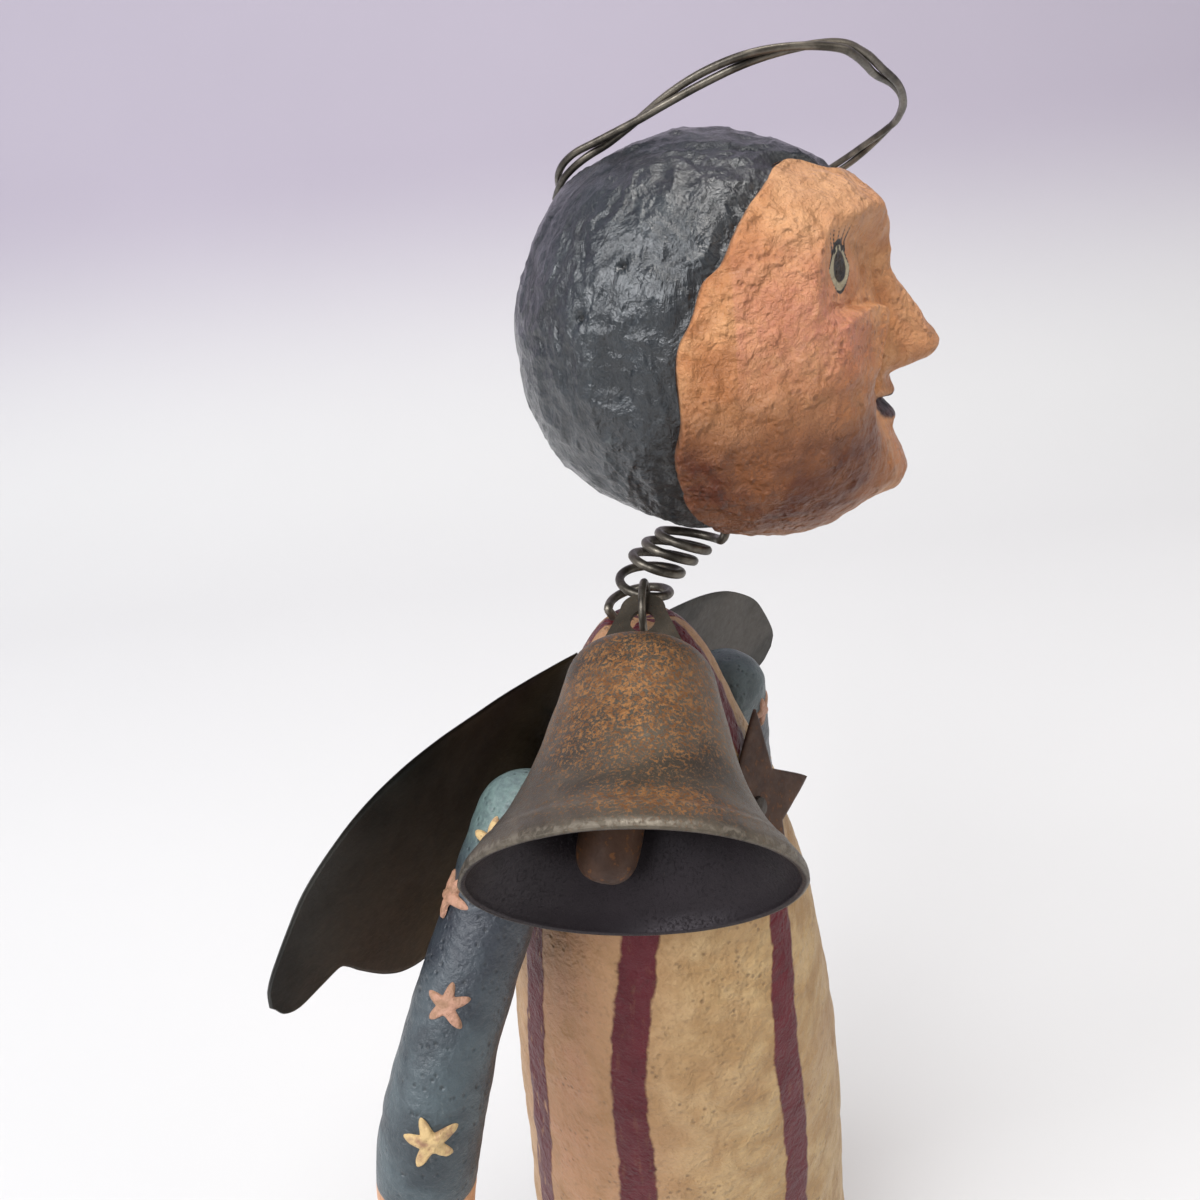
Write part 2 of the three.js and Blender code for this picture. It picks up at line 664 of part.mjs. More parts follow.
const neckTop = V(0, 0, DRESS_HEIGHT);
const headCentre = neckTop.clone().add(vec(HEAD_CENTRE));
const springRight = V(Math.cos(rad(SPRING_AZIMUTH_DEG)), Math.sin(rad(SPRING_AZIMUTH_DEG)), 0);
const springBack = V(-springRight.y, springRight.x, 0);
const springTopNormal = vec(SPRING_TOP_NORMAL).normalize();

const springRise = smooth(SPRING_RISE, 30);

// Turn counted from the foot, wound left-handed
function springSpot(turn) {
  const share = turn / SPRING_TURNS;
  const centre = neckTop.clone().add(V(SPRING_FOOT[0], SPRING_FOOT[1], lerpTable(springRise, turn)));
  centre.add(V(SPRING_RUN[0] * share, SPRING_RUN[1] * share, 0));
  const settle = Math.min(Math.max(share - SPRING_LEVEL_SHARE, 0) * SPRING_LEAN_RATE, 1);
  const normal = UP.clone().lerp(springTopNormal, settle).normalize();
  const right = springRight.clone().addScaledVector(normal, -springRight.dot(normal)).normalize();
  const back = normal.clone().cross(right);
  const angle = Math.PI - 2 * Math.PI * turn;
  centre.addScaledVector(right, SPRING_RADIUS * Math.cos(angle));
  return centre.addScaledVector(back, SPRING_RADIUS * Math.sin(angle));
}

const springCoils = [];
for (let i = 0; i <= SPRING_TURNS * SPRING_STEPS; i += 1) springCoils.push(springSpot(i / SPRING_STEPS));
const springStart = springCoils[0];
const springEnd = springCoils[springCoils.length - 1];
const footInner = neckTop.clone().add(V(springStart.x * 0.42, springStart.y * 0.42, -SPRING_FOOT_DEPTH));
const footBend = neckTop.clone().add(V(springStart.x * 0.86, springStart.y * 0.86, 0.2));
const footPath = throughPoints(
  [footInner, footInner.clone().lerp(footBend, 0.5), footBend, springCoils[0], springCoils[2], springCoils[4]],
  14
);
const footTail = footPath.filter((p) => p.z < springCoils[0].z - 0.2);
const tailTop = V(springEnd.x + 0.8, springEnd.y - 0.9, headCentre.z - CORE_RADIUS + SPRING_TOP_DEPTH);
const tailBend = V(springEnd.x + 0.7, springEnd.y - 0.8, springEnd.z + 3.2);
const tailCount = springCoils.length;
const tailPath = throughPoints(
  [
    springCoils[tailCount - 5], springCoils[tailCount - 3], springEnd, tailBend,
    tailBend.clone().lerp(tailTop, 0.5), tailTop
  ],
  16
);
const topTail = tailPath.filter((p) => p.z > springEnd.z + 0.7);
const springPath = footTail.concat(springCoils).concat(topTail);
const neckSpring = tube(springPath, SPRING_WIRE_RADIUS, SPRING_SIDES);
const springBoreRadius = SPRING_WIRE_RADIUS + FIT_GAP + 0.15;
const footBore = tube(
  [footInner.clone().add(V(0, 0, -0.5)), ...footTail, springCoils[0]], springBoreRadius, 10
);
const tailBore = tube(
  [tailBend.clone().add(V(-0.1, 0.1, -2.6)), ...topTail.slice(2), tailTop.clone().add(V(0, 0, 0.5))],
  springBoreRadius, 10
);

// Head

const faceAhead = V(Math.sin(rad(HEAD_TURN_DEG)), -Math.cos(rad(HEAD_TURN_DEG)), 0);
const faceLeft = V(Math.cos(rad(HEAD_TURN_DEG)), Math.sin(rad(HEAD_TURN_DEG)), 0);

const bump = (distance, width) => Math.exp(-distance * distance / (2 * width * width));
// Reach of the head from its middle, for a direction given ahead, left and up
const headOutline = smooth(HEAD_OUTLINE, 96);
function headReach(a, l, u) {
  const flat = Math.hypot(a, u);
  const side = Math.atan2(l, flat);
  const lift = Math.atan2(u, a);
  const middle = lerpTable(headOutline, lift * 180 / Math.PI);
  const base = 1 / Math.hypot(flat / middle, l / HEAD_WIDTH);
  const overNose = lift - rad(NOSE_LIFT_DEG);
  const nose = NOSE_LENGTH * bump(side, 0.1) * bump(overNose, overNose > 0 ? 0.13 : 0.09);
  const chin = CHIN_LENGTH * bump(side, 0.28) * bump(lift - rad(CHIN_LIFT_DEG), 0.11);
  return base + nose + chin;
}

function headSpot(open, turn, reachOf) {
  const a = Math.cos(open);
  const l = Math.sin(open) * Math.sin(turn);
  const u = Math.sin(open) * Math.cos(turn);
  const reach = reachOf(a, l, u);
  const spot = headCentre.clone().addScaledVector(faceAhead, a * reach);
  return spot.addScaledVector(faceLeft, l * reach).addScaledVector(UP, u * reach);
}

function hairlineAt(turn) {
  const deg = Math.abs(((turn * 180 / Math.PI + 180) % 360 + 360) % 360 - 180);
  return rad(lerpTable(HAIRLINE, deg));
}

// A layer between an inner and an outer reach, from one opening to another
function headLayer(openFrom, openTo, count, innerReach, outerReach) {
  const ringOf = (share, reachOf) => {
    const ring = [];
    for (let j = 0; j < HEAD_SIDES; j += 1) {
      const turn = 2 * Math.PI * j / HEAD_SIDES;
      const open = openFrom(turn) + share * (openTo(turn) - openFrom(turn));
      ring.push(headSpot(open, turn, reachOf));
    }
    return ring;
  };
  const outer = [];
  const inner = [];
  for (let i = 0; i <= count; i += 1) outer.push(ringOf(i / count, outerReach));
  const innerCount = Math.round(count / 2);
  for (let i = 0; i <= innerCount; i += 1) inner.push(ringOf(i / innerCount, innerReach));
  return { outer, inner };
}

const seamTurn = SEAM_GAP / CORE_RADIUS;
const coreSkin = () => CORE_RADIUS + 2.4 * FIT_GAP;
const facePole = () => 0.02;
const faceParts = headLayer(facePole, hairlineAt, FACE_RINGS, coreSkin, headReach);
const faceBlank = skin(faceParts.outer.concat(faceParts.inner.slice().reverse()));
const hairReach = (a, l, u) => headReach(a, l, u) - HAIR_SINK;
const hairFrom = (turn) => hairlineAt(turn) + seamTurn;
const hairPole = () => Math.PI - 0.02;
const hairParts = headLayer(hairFrom, hairPole, HAIR_RINGS, coreSkin, hairReach);
const hairRings = hairParts.outer.slice().reverse().concat(hairParts.inner);
const hairBlank = skin(hairRings.map((ring) => ring.slice().reverse()));
const coreBlank = new THREE.SphereGeometry(CORE_RADIUS, 24, 14);
coreBlank.translate(headCentre.x, headCentre.y, headCentre.z);

// Halo

const haloCentre = headCentre.clone().add(vec(HALO_CENTRE));
const haloRight = vec(HALO_RIGHT).normalize();
const haloNear = vec(HALO_NEAR).addScaledVector(haloRight, -vec(HALO_NEAR).dot(haloRight)).normalize();
const haloAxis = haloRight.clone().cross(haloNear);

// The winding runs towards the head
function haloSpot(turn) {
  const angle = rad(HALO_START_DEG) + 2 * Math.PI * turn;
  const radius = HALO_RADIUS * lerpTable(HALO_BENDS, (angle * 180 / Math.PI) % 360);
  const spot = haloCentre.clone().addScaledVector(haloRight, radius * Math.cos(angle));
  spot.addScaledVector(haloNear, radius * Math.sin(angle));
  return spot.addScaledVector(haloAxis, HALO_PITCH * (turn - HALO_TURNS / 2));
}

// Leaves the ring at a spot, leans in by a given way and goes straight into the hair
function haloEnd(spot, along, lead) {
  const towards = haloCentre.clone().sub(spot).normalize();
  const turnIn = spot.clone().addScaledVector(towards, lead).addScaledVector(along, 2.8);
  const half = spot.clone().addScaledVector(towards, lead * 0.4).addScaledVector(along, 1.6);
  const inward = headCentre.clone().sub(turnIn).normalize();
  const depth = turnIn.distanceTo(headCentre) - HEAD_BACK + HALO_SET;
  const mouth = turnIn.clone().addScaledVector(inward, depth * 0.45);
  const deep = turnIn.clone().addScaledVector(inward, depth);
  return { deep, inward, points: [deep, mouth, turnIn, half] };
}

const haloLoops = [];
const haloCount = Math.round(HALO_TURNS * HALO_STEPS);
for (let i = 0; i <= haloCount; i += 1) haloLoops.push(haloSpot(HALO_TURNS * i / haloCount));
const haloAlongFirst = haloLoops[1].clone().sub(haloLoops[0]).normalize();
const haloAlongLast = haloLoops[haloCount].clone().sub(haloLoops[haloCount - 1]).normalize();
const haloHead = haloEnd(haloLoops[0], haloAlongFirst.negate(), HALO_WIRE_RADIUS * 3.7);
const haloTail = haloEnd(haloLoops[haloCount], haloAlongLast, HALO_WIRE_RADIUS);
const haloPath = [...haloHead.points, ...haloLoops, ...haloTail.points.slice().reverse()];
const haloSmooth = new THREE.CatmullRomCurve3(haloPath, false, 'centripetal').getPoints(haloPath.length + 8);
const haloWire = tube(haloSmooth, HALO_WIRE_RADIUS, 6);
const haloInHair = (points) => points.filter((p) => p.distanceTo(headCentre) < HEAD_BACK + 3);
const haloThird = Math.round(haloSmooth.length / 3);
const haloBores = [
  [haloHead, haloInHair(haloSmooth.slice(0, haloThird))],
  [haloTail, haloInHair(haloSmooth.slice(-haloThird).reverse())]
].map(([end, sunk]) => {
  const bottom = end.deep.clone().addScaledVector(end.inward, 2 * FIT_GAP);
  return tube([bottom, ...sunk], HALO_WIRE_RADIUS + 1.6 * FIT_GAP, 10);
});

// Bell: hung by its ear on an open ring that goes round the lowest front strand of the spring

const bellTurn = rad(BELL_TURN_DEG);
const bellLean = rad(BELL_LEAN_DEG);
const bellOut = V(-Math.sin(bellTurn), -Math.cos(bellTurn), 0);
const bellAcross = UP.clone().cross(bellOut);
const bellUp = bellOut.clone().multiplyScalar(-Math.sin(bellLean)).addScaledVector(UP, Math.cos(bellLean));
const bellDown = bellUp.clone().negate();
const bellFace = bellUp.clone().cross(bellAcross);
const strand = springSpot(0.75);
const hookReach = HOOK_RADIUS - SPRING_WIRE_RADIUS - HOOK_WIRE_RADIUS - FIT_GAP - 0.1;
const hookAt = (centre, deg, reach) => {
  const spot = centre.clone().addScaledVector(bellOut, reach * Math.cos(rad(deg)));
  return spot.addScaledVector(UP, reach * Math.sin(rad(deg)));
};
const hookCentre = hookAt(strand, HOOK_HANG_DEG, hookReach);
const hookSeat = hookAt(hookCentre, HOOK_SEAT_DEG, HOOK_RADIUS);
const bellEye = hookSeat.clone().addScaledVector(bellDown, EAR_HANG);

const hookPath = [];
for (let i = 0; i <= 20; i += 1) {
  const deg = HOOK_SPAN_DEG[0] + (HOOK_SPAN_DEG[1] - HOOK_SPAN_DEG[0]) * i / 20;
  hookPath.push(hookAt(hookCentre, deg, HOOK_RADIUS));
}
const bellHook = tube(hookPath, HOOK_WIRE_RADIUS, 8);

const bellPlaced = (geometry) => placed(geometry, bellEye, bellAcross, bellFace, bellUp);
const bellOuter = BELL_OUTLINE.map((p) => [p[0] * BELL_MOUTH_RADIUS, -CROWN_DROP - p[1] * BELL_DEPTH]);
const bellInner = BELL_OUTLINE.map((p) => {
  const drop = BELL_WALL * (1 - p[1]);
  return [p[0] * BELL_MOUTH_RADIUS - BELL_WALL, -CROWN_DROP - p[1] * BELL_DEPTH - drop];
});
const bellProfile = [[0, -CROWN_DROP - BELL_WALL]]
  .concat(bellInner)
  .concat(bellOuter.slice().reverse())
  .concat([[0, -CROWN_DROP]]);
const bellCup = bellPlaced(turned(bellProfile, BELL_SIDES));

const earShape = new THREE.Shape();
const earFoot = -CROWN_DROP + FIT_GAP;
earShape.moveTo(-EAR_BASE / 2, earFoot);
earShape.lineTo(EAR_BASE / 2, earFoot);
earShape.lineTo(EAR_BASE / 2, earFoot + 0.8);
earShape.lineTo(EAR_TOP / 2, EAR_RISE * 0.4);
earShape.quadraticCurveTo(EAR_TOP / 2 - 0.3, EAR_RISE, 0, EAR_RISE);
earShape.quadraticCurveTo(-EAR_TOP / 2 + 0.3, EAR_RISE, -EAR_TOP / 2, EAR_RISE * 0.4);
earShape.lineTo(-EAR_BASE / 2, earFoot + 0.8);
earShape.closePath();
const earHole = new THREE.Path();
earHole.absarc(0, 0, EAR_HOLE_RADIUS, 0, 2 * Math.PI, true);
earShape.holes.push(earHole);
const earFlat = plate(earShape, EAR_THICK);
earFlat.translate(0, 0, -EAR_THICK / 2);
earFlat.rotateX(Math.PI / 2);
const bellEar = bellPlaced(earFlat);

// Staple, wire and bob of the clapper

const stapleTop = -CROWN_DROP - BELL_WALL - FIT_GAP - 0.1;
const stapleLow = stapleTop - STAPLE_DROP;
const stapleBend = STAPLE_HALF * 0.5;
const staplePath = throughPoints([
  V(-STAPLE_HALF, 0, stapleTop), V(-STAPLE_HALF, 0, stapleLow + stapleBend), V(-stapleBend, 0, stapleLow),
  V(stapleBend, 0, stapleLow), V(STAPLE_HALF, 0, stapleLow + stapleBend), V(STAPLE_HALF, 0, stapleTop)
], 18);
const clapperStaple = bellPlaced(tube(staplePath, STAPLE_WIRE_RADIUS, 6));

const eyePath = [];
for (let i = 0; i <= 16; i += 1) {
  const turn = rad(-90 + 40 + 290 * i / 16);
  eyePath.push(V(0, CLAPPER_EYE_RADIUS * Math.cos(turn), CLAPPER_EYE_RADIUS * Math.sin(turn)));
}
const wireFoot = -CLAPPER_EYE_RADIUS - CLAPPER_REACH;
eyePath.push(V(0, 0, -CLAPPER_EYE_RADIUS - 1.5));
eyePath.push(V(0, 0, wireFoot));
eyePath.push(V(0, 0, wireFoot - 3));
const bobTop = wireFoot;
const bobShape = turned([
  [0, bobTop - 3 - FIT_GAP], [CLAPPER_WIRE_RADIUS + FIT_GAP, bobTop - 3 - FIT_GAP],
  [CLAPPER_WIRE_RADIUS + FIT_GAP, bobTop], [BOB_RADIUS * 0.84, bobTop], [BOB_RADIUS, bobTop - 1.1],
  [BOB_RADIUS, bobTop - BOB_LENGTH * 0.66], [BOB_RADIUS * 0.88, bobTop - BOB_LENGTH * 0.84],
  [BOB_RADIUS * 0.55, bobTop - BOB_LENGTH * 0.96], [0, bobTop - BOB_LENGTH]
].reverse(), 18);
const clapperPivot = bellEye.clone().addScaledVector(bellUp, stapleLow);
const clapperTilt = new THREE.Quaternion().setFromAxisAngle(bellAcross, rad(CLAPPER_LEAN_DEG));
const clapperFace = bellFace.clone().applyQuaternion(clapperTilt);
const clapperUp = bellUp.clone().applyQuaternion(clapperTilt);
clapperUp.applyAxisAngle(clapperFace, rad(CLAPPER_SIDE_DEG));
const clapperAcross = clapperFace.clone().cross(clapperUp);
const clapperPlaced = (geometry) => placed(geometry, clapperPivot, clapperAcross, clapperFace, clapperUp);

// Pieces of the doll

const dressBores = [armBore, footBore, starBore, ...wingNails.map((n) => n.bore)];
addPiece('body_shell', cut(dressBlank, dressBores), CREAM, 0.6, 0);
const baseRadius = dressRadius(0) - DRESS_WALL - FIT_GAP - 0.4;
addPiece('base_disc', turned([
  [0, 0], [baseRadius, 0], [baseRadius - 0.3, BASE_THICKNESS], [0, BASE_THICKNESS]
], DRESS_SIDES), CLAY, 0.8, 0);
addPiece('arm_wire', armWire, WIRE, 0.45, 0.9);

addPiece('right_sleeve', cut(sleeveBlank(rightArm), [armBore, wristSocket(rightArm)]), SLATE, 0.5, 0);
addPiece('left_sleeve', cut(sleeveBlank(leftArm), [armBore, wristSocket(leftArm)]), SLATE, 0.5, 0);
addPiece('right_hand', handBlank(rightArm), FLESH, 0.55, 0);
addPiece('left_hand', handBlank(leftArm), FLESH, 0.55, 0);
RIGHT_STARS.forEach((s, i) => {
  addPiece(`right_star_${STAR_MARKS[i]}`, sleeveStar(rightArm, s[0], s[1], s[2], s[3]), CLAY, 0.7, 0);
});
LEFT_STARS.forEach((s, i) => {
  addPiece(`left_star_${STAR_MARKS[i]}`, sleeveStar(leftArm, s[0], s[1], s[2], s[3]), CLAY, 0.7, 0);
});

addPiece('right_wing', cut(wingSheet(-1, ...wingSet(-1)), boresOf(-1)), TIN_DARK, 0.6, 0.4);
addPiece('left_wing', cut(wingSheet(1, ...wingSet(1)), boresOf(1)), TIN_DARK, 0.6, 0.4);
wingNails.forEach((n) => addPiece(n.name, n.nail, WIRE, 0.5, 0.8));

const chestPlate = plate(starShape(CHEST_STAR_RADIUS, CHEST_STAR_NOTCH, 0), CHEST_STAR_THICK);
const chestStar = placed(chestPlate, starSeat, starAcross, starUp, starOut);
addPiece('tin_star', cut(chestStar, [starBore]), TIN_RUST, 0.7, 0.4);
addPiece('star_nail', starNail, WIRE, 0.5, 0.8);

addPiece('neck_spring', neckSpring, WIRE, 0.4, 0.9);
addPiece('head_core', cut(coreBlank, [tailBore]), CLAY, 0.9, 0);
addPiece('hair_cap', cut(hairBlank, [tailBore, ...haloBores]), HAIR, 0.35, 0);
addPiece('face_mask', cut(faceBlank, [tailBore]), FLESH, 0.55, 0);
addPiece('halo_wire', haloWire, WIRE, 0.4, 0.9);

addPiece('bell_hook', bellHook, WIRE, 0.4, 0.9);
addPiece('bell_cup', bellCup, BRONZE, 0.5, 0.7);
addPiece('bell_ear', bellEar, WIRE, 0.5, 0.7);
addPiece('clapper_staple', clapperStaple, WIRE, 0.5, 0.8);
addPiece('clapper_wire', clapperPlaced(tube(eyePath, CLAPPER_WIRE_RADIUS, 6)), WIRE, 0.5, 0.8);
addPiece('clapper_bob', clapperPlaced(bobShape), TIN_RUST, 0.6, 0.4);

const springGap = leastGap(springPath, SPRING_WIRE_RADIUS, Math.round(SPRING_STEPS * 0.6));
const haloGap = leastGap(haloSmooth, HALO_WIRE_RADIUS, Math.round(HALO_STEPS * 0.6));
const hookGap = leastGap(hookPath, HOOK_WIRE_RADIUS, 12);
console.log(`least gap of the spring to itself ${springGap.toFixed(2)} mm`);
console.log(`least gap of the halo to itself ${haloGap.toFixed(2)} mm`);
console.log(`least gap of the hook to itself ${hookGap.toFixed(2)} mm`);

export default doll;
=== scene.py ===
import json
import math

import bpy
import numpy as np
from mathutils import Matrix, Vector


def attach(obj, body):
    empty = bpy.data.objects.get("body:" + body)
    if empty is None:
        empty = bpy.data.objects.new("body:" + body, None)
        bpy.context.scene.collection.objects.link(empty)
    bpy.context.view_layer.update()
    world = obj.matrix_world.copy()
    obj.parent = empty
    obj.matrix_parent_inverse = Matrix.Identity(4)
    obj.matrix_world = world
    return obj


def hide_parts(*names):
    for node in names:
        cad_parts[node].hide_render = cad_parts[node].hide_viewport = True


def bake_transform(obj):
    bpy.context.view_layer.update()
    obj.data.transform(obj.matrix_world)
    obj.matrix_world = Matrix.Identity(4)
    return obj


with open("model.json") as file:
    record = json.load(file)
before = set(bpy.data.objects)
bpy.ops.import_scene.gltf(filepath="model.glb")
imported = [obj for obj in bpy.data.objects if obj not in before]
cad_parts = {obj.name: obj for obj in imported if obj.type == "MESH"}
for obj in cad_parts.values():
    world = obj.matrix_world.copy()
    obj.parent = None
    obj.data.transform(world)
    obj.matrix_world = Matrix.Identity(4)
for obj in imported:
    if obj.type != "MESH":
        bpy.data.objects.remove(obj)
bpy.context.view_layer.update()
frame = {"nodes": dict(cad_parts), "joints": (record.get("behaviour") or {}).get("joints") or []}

MM = 0.001
UP = np.array([0, 0, 1.0])
scene = bpy.context.scene
joint_place = {j["name"]: np.array(j["pos_m"]) / MM for j in frame["joints"]}


# Small helpers for vectors, angles, tables and noise; lengths are in millimetres

def unit(v):
    v = np.asarray(v, float)
    return v / np.linalg.norm(v)


def units(rows):
    return rows / np.maximum(np.linalg.norm(rows, axis=1), 1e-6)[:, None]


def circle(sides):
    return np.linspace(0, 2 * math.pi, sides, endpoint=False)


def wrap(angle):
    """The same angle, within half a turn of zero."""
    return (angle + math.pi) % (2 * math.pi) - math.pi


def lookup(key, rows):
    return np.interp(key, rows[:, 0], rows[:, 1])


def smooth_table(rows, count):
    """Catmull-Rom curve through the rows."""
    p = np.asarray(rows, float)
    p = np.vstack([2 * p[0] - p[1], p, 2 * p[-1] - p[-2]])
    t = np.linspace(0, len(rows) - 1 - 1e-9, count)
    i = t.astype(int)
    f = (t - i)[:, None]
    a, b, c, d = p[i], p[i + 1], p[i + 2], p[i + 3]
    line = 2 * b + (c - a) * f
    return 0.5 * (line + (2 * a - 5 * b + 4 * c - d) * f ** 2 + (3 * b - a - 3 * c + d) * f ** 3)


def ease(t):
    t = np.clip(t, 0, 1)
    return t * t * (3 - 2 * t)


def bump(d, w):
    return np.exp(-np.asarray(d) ** 2 / (2 * w * w))


HASH_STEPS = np.array([374761393, 668265263, 1440662683])
HASH_SEED = 974634777
HASH_MIX = 1274126177
HASH_MASK = 0xFFFFFFFF


def value_noise(p, seed):
    """Smooth noise from -1 to 1 on a unit grid."""
    cell = np.floor(p).astype(np.int64)
    f = p - cell
    f = f * f * f * (f * (f * 6 - 15) + 10)
    total = np.zeros(len(p))
    for corner in range(8):
        o = np.array([corner & 1, (corner >> 1) & 1, (corner >> 2) & 1])
        h = ((cell + o) @ HASH_STEPS + seed * HASH_SEED) & HASH_MASK
        h = ((h ^ (h >> 13)) * HASH_MIX) & HASH_MASK
        h = h ^ (h >> 16)
        total += np.prod(np.where(o, f, 1 - f), axis=1) * ((h & 0xFFFF) / 32767.5 - 1)
    return total


def fbm(p, size, octaves, seed):
    return sum(0.5 ** k * value_noise(p / size * 2 ** k + 17.3 * k, seed + k) for k in range(octaves))


def ridged(p, size, octaves, seed):
    """Sharp ridges, as in crumpled paper."""
    waves = [np.abs(value_noise(p / size * 2 ** k + 9.1 * k, seed + k)) for k in range(octaves)]
    return sum(0.5 ** k * (1 - 2 * wave) for k, wave in enumerate(waves))


# Meshes

WIRE_SIDES = 14


def make(name, verts, faces, material, body=None, stands_for=(), attrs=None):
    mesh = bpy.data.meshes.new(name)
    mesh.from_pydata((np.asarray(verts) * MM).tolist(), [], [list(map(int, f)) for f in faces])
    mesh.polygons.foreach_set("use_smooth", np.ones(len(mesh.polygons), bool))
    for key, values in (attrs or {}).items():
        a = mesh.attributes.new(key, "FLOAT", "POINT")
        a.data.foreach_set("value", np.asarray(values, np.float32))
    mesh.materials.append(material)
    mesh.update()
    obj = bpy.data.objects.new(name, mesh)
    scene.collection.objects.link(obj)
    if body:
        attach(obj, body)
    if stands_for:
        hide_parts(*stands_for)
    return obj


def grid_faces(rows, cols, closed=False, start=0):
    i, j = np.meshgrid(np.arange(rows - 1), np.arange(cols if closed else cols - 1), indexing="ij")
    k = (j + 1) % cols
    f = np.stack([i * cols + j, i * cols + k, (i + 1) * cols + k, (i + 1) * cols + j], -1).reshape(-1, 4)
    return f + start


def capped_faces(rows, sides):
    return grid_faces(rows, sides, True).tolist() + [list(range(sides))[::-1]]


def turned(profile, sides):
    """Points and faces of a profile (radius, height) turned round Z."""
    turn = circle(sides)
    r, z = profile[:, :1], profile[:, 1:]
    pts = np.stack([r * np.cos(turn), r * np.sin(turn), np.repeat(z, sides, 1)], -1).reshape(-1, 3)
    return pts, grid_faces(len(profile), sides, True)


def frames_along(path):
    """Two directions square to the path at each point, carried along without twist."""
    tan = units(np.gradient(path, axis=0))
    side = np.cross(UP if abs(tan[0, 2]) < 0.8 else [1.0, 0, 0], tan[0])
    sides = []
    for t in tan:
        side = unit(side - t * (side @ t))
        sides.append(side)
    sides = np.array(sides)
    return sides, np.cross(tan, sides)


def tube(path, radius):
    radius = np.broadcast_to(radius, len(path))
    side, other = frames_along(path)
    turn = circle(WIRE_SIDES)
    ring = side[:, None] * np.cos(turn)[None, :, None] + other[:, None] * np.sin(turn)[None, :, None]
    pts = (path[:, None] + ring * radius[:, None, None]).reshape(-1, 3)
    last = (len(path) - 1) * WIRE_SIDES
    return pts, capped_faces(len(path), WIRE_SIDES) + [list(range(last, last + WIRE_SIDES))]


def resample(points, count):
    p = smooth_table(points, count * 6)
    d = np.concatenate([[0], np.cumsum(np.linalg.norm(np.diff(p, axis=0), axis=1))])
    t = np.linspace(0, d[-1], count)
    return np.stack([np.interp(t, d, p[:, i]) for i in range(3)], -1)


def spread(x, y, reach, turn):
    """Points at a reach from the middle of the plane of x and y; turn runs from y to x."""
    return x * (reach * np.sin(turn))[:, None] + y * (reach * np.cos(turn))[:, None]


# Node materials

class Look:
    """A Principled material whose inputs are fed by noise, cells and painted marks."""

    def __init__(self, name):
        self.mat = bpy.data.materials.new(name)
        self.mat.use_nodes = True
        self.tree = self.mat.node_tree
        self.tree.nodes.clear()
        self.bsdf = self.node("BsdfPrincipled")
        self.put(self.node("OutputMaterial").inputs[0], self.bsdf.outputs[0])
        self.pos = self.node("TexCoord").outputs["Object"]

    def put(self, socket, value):
        if isinstance(value, bpy.types.NodeSocket):
            self.tree.links.new(value, socket)
            return
        if socket.type == "RGBA":
            value = (*value, 1)
        socket.default_value = value

    def feed(self, node, **inputs):
        for key, value in inputs.items():
            self.put(node.inputs[key.replace("_", " ")], value)

    def node(self, kind, **inputs):
        n = self.tree.nodes.new("ShaderNode" + kind)
        self.feed(n, **inputs)
        return n

    def noise(self, size_mm, detail, rough, warp=0.0, vector=None):
        return self.node("TexNoise", Vector=vector or self.pos, Scale=1 / (size_mm * MM), Detail=detail,
                         Roughness=rough, Distortion=warp).outputs[0]

    def cells(self, size_mm, feature="F1"):
        n = self.node("TexVoronoi", Vector=self.pos, Scale=1 / (size_mm * MM))
        n.feature = feature
        return n.outputs[0]

    def stretch(self, x, y, z):
        return self.node("Mapping", Vector=self.pos, Scale=(x, y, z)).outputs[0]

    def attr(self, name):
        n = self.node("Attribute")
        n.attribute_name = name
        return n.outputs["Fac"]

    def math(self, op, a, b):
        n = self.node("Math")
        n.operation = op
        self.put(n.inputs[0], a)
        self.put(n.inputs[1], b)
        return n.outputs[0]

    def times(self, a, b):
        return self.math("MULTIPLY", a, b)

    def plus(self, a, b):
        return self.math("ADD", a, b)

    def layers(self, first, *others):
        total = self.times(*first)
        for pair in others:
            total = self.plus(total, self.times(*pair))
        return total

    def wander(self, size_mm, detail, amount):
        """Noise about zero, for a stroke's uneven edge."""
        return self.times(self.math("SUBTRACT", self.noise(size_mm, detail, 0.6), 0.5), amount)

    def span(self, value, low, high, to_low=0, to_high=1):
        n = self.node("MapRange", Value=value, From_Min=low, From_Max=high, To_Min=to_low, To_Max=to_high)
        n.interpolation_type = "SMOOTHSTEP"
        return n.outputs[0]

    def mix(self, fac, a, b):
        n = self.node("Mix")
        n.data_type = "RGBA"
        self.put(n.inputs[0], fac)
        self.put(n.inputs[6], a)
        self.put(n.inputs[7], b)
        return n.outputs[2]

    def coats(self, color, *coats):
        """Colour with coats of (cover, paint) over it, each on the one before."""
        for cover, paint in coats:
            color = self.mix(cover, color, paint)
        return color

    def bump(self, height, depth_mm, strength):
        return self.node("Bump", Strength=strength, Distance=depth_mm * MM, Height=height).outputs[0]

    def finish(self, color, rough, normal, **others):
        self.feed(self.bsdf, Base_Color=color, Roughness=rough, Normal=normal)
        self.feed(self.bsdf, **{"Coat_Normal": normal, **others})
        return self.mat


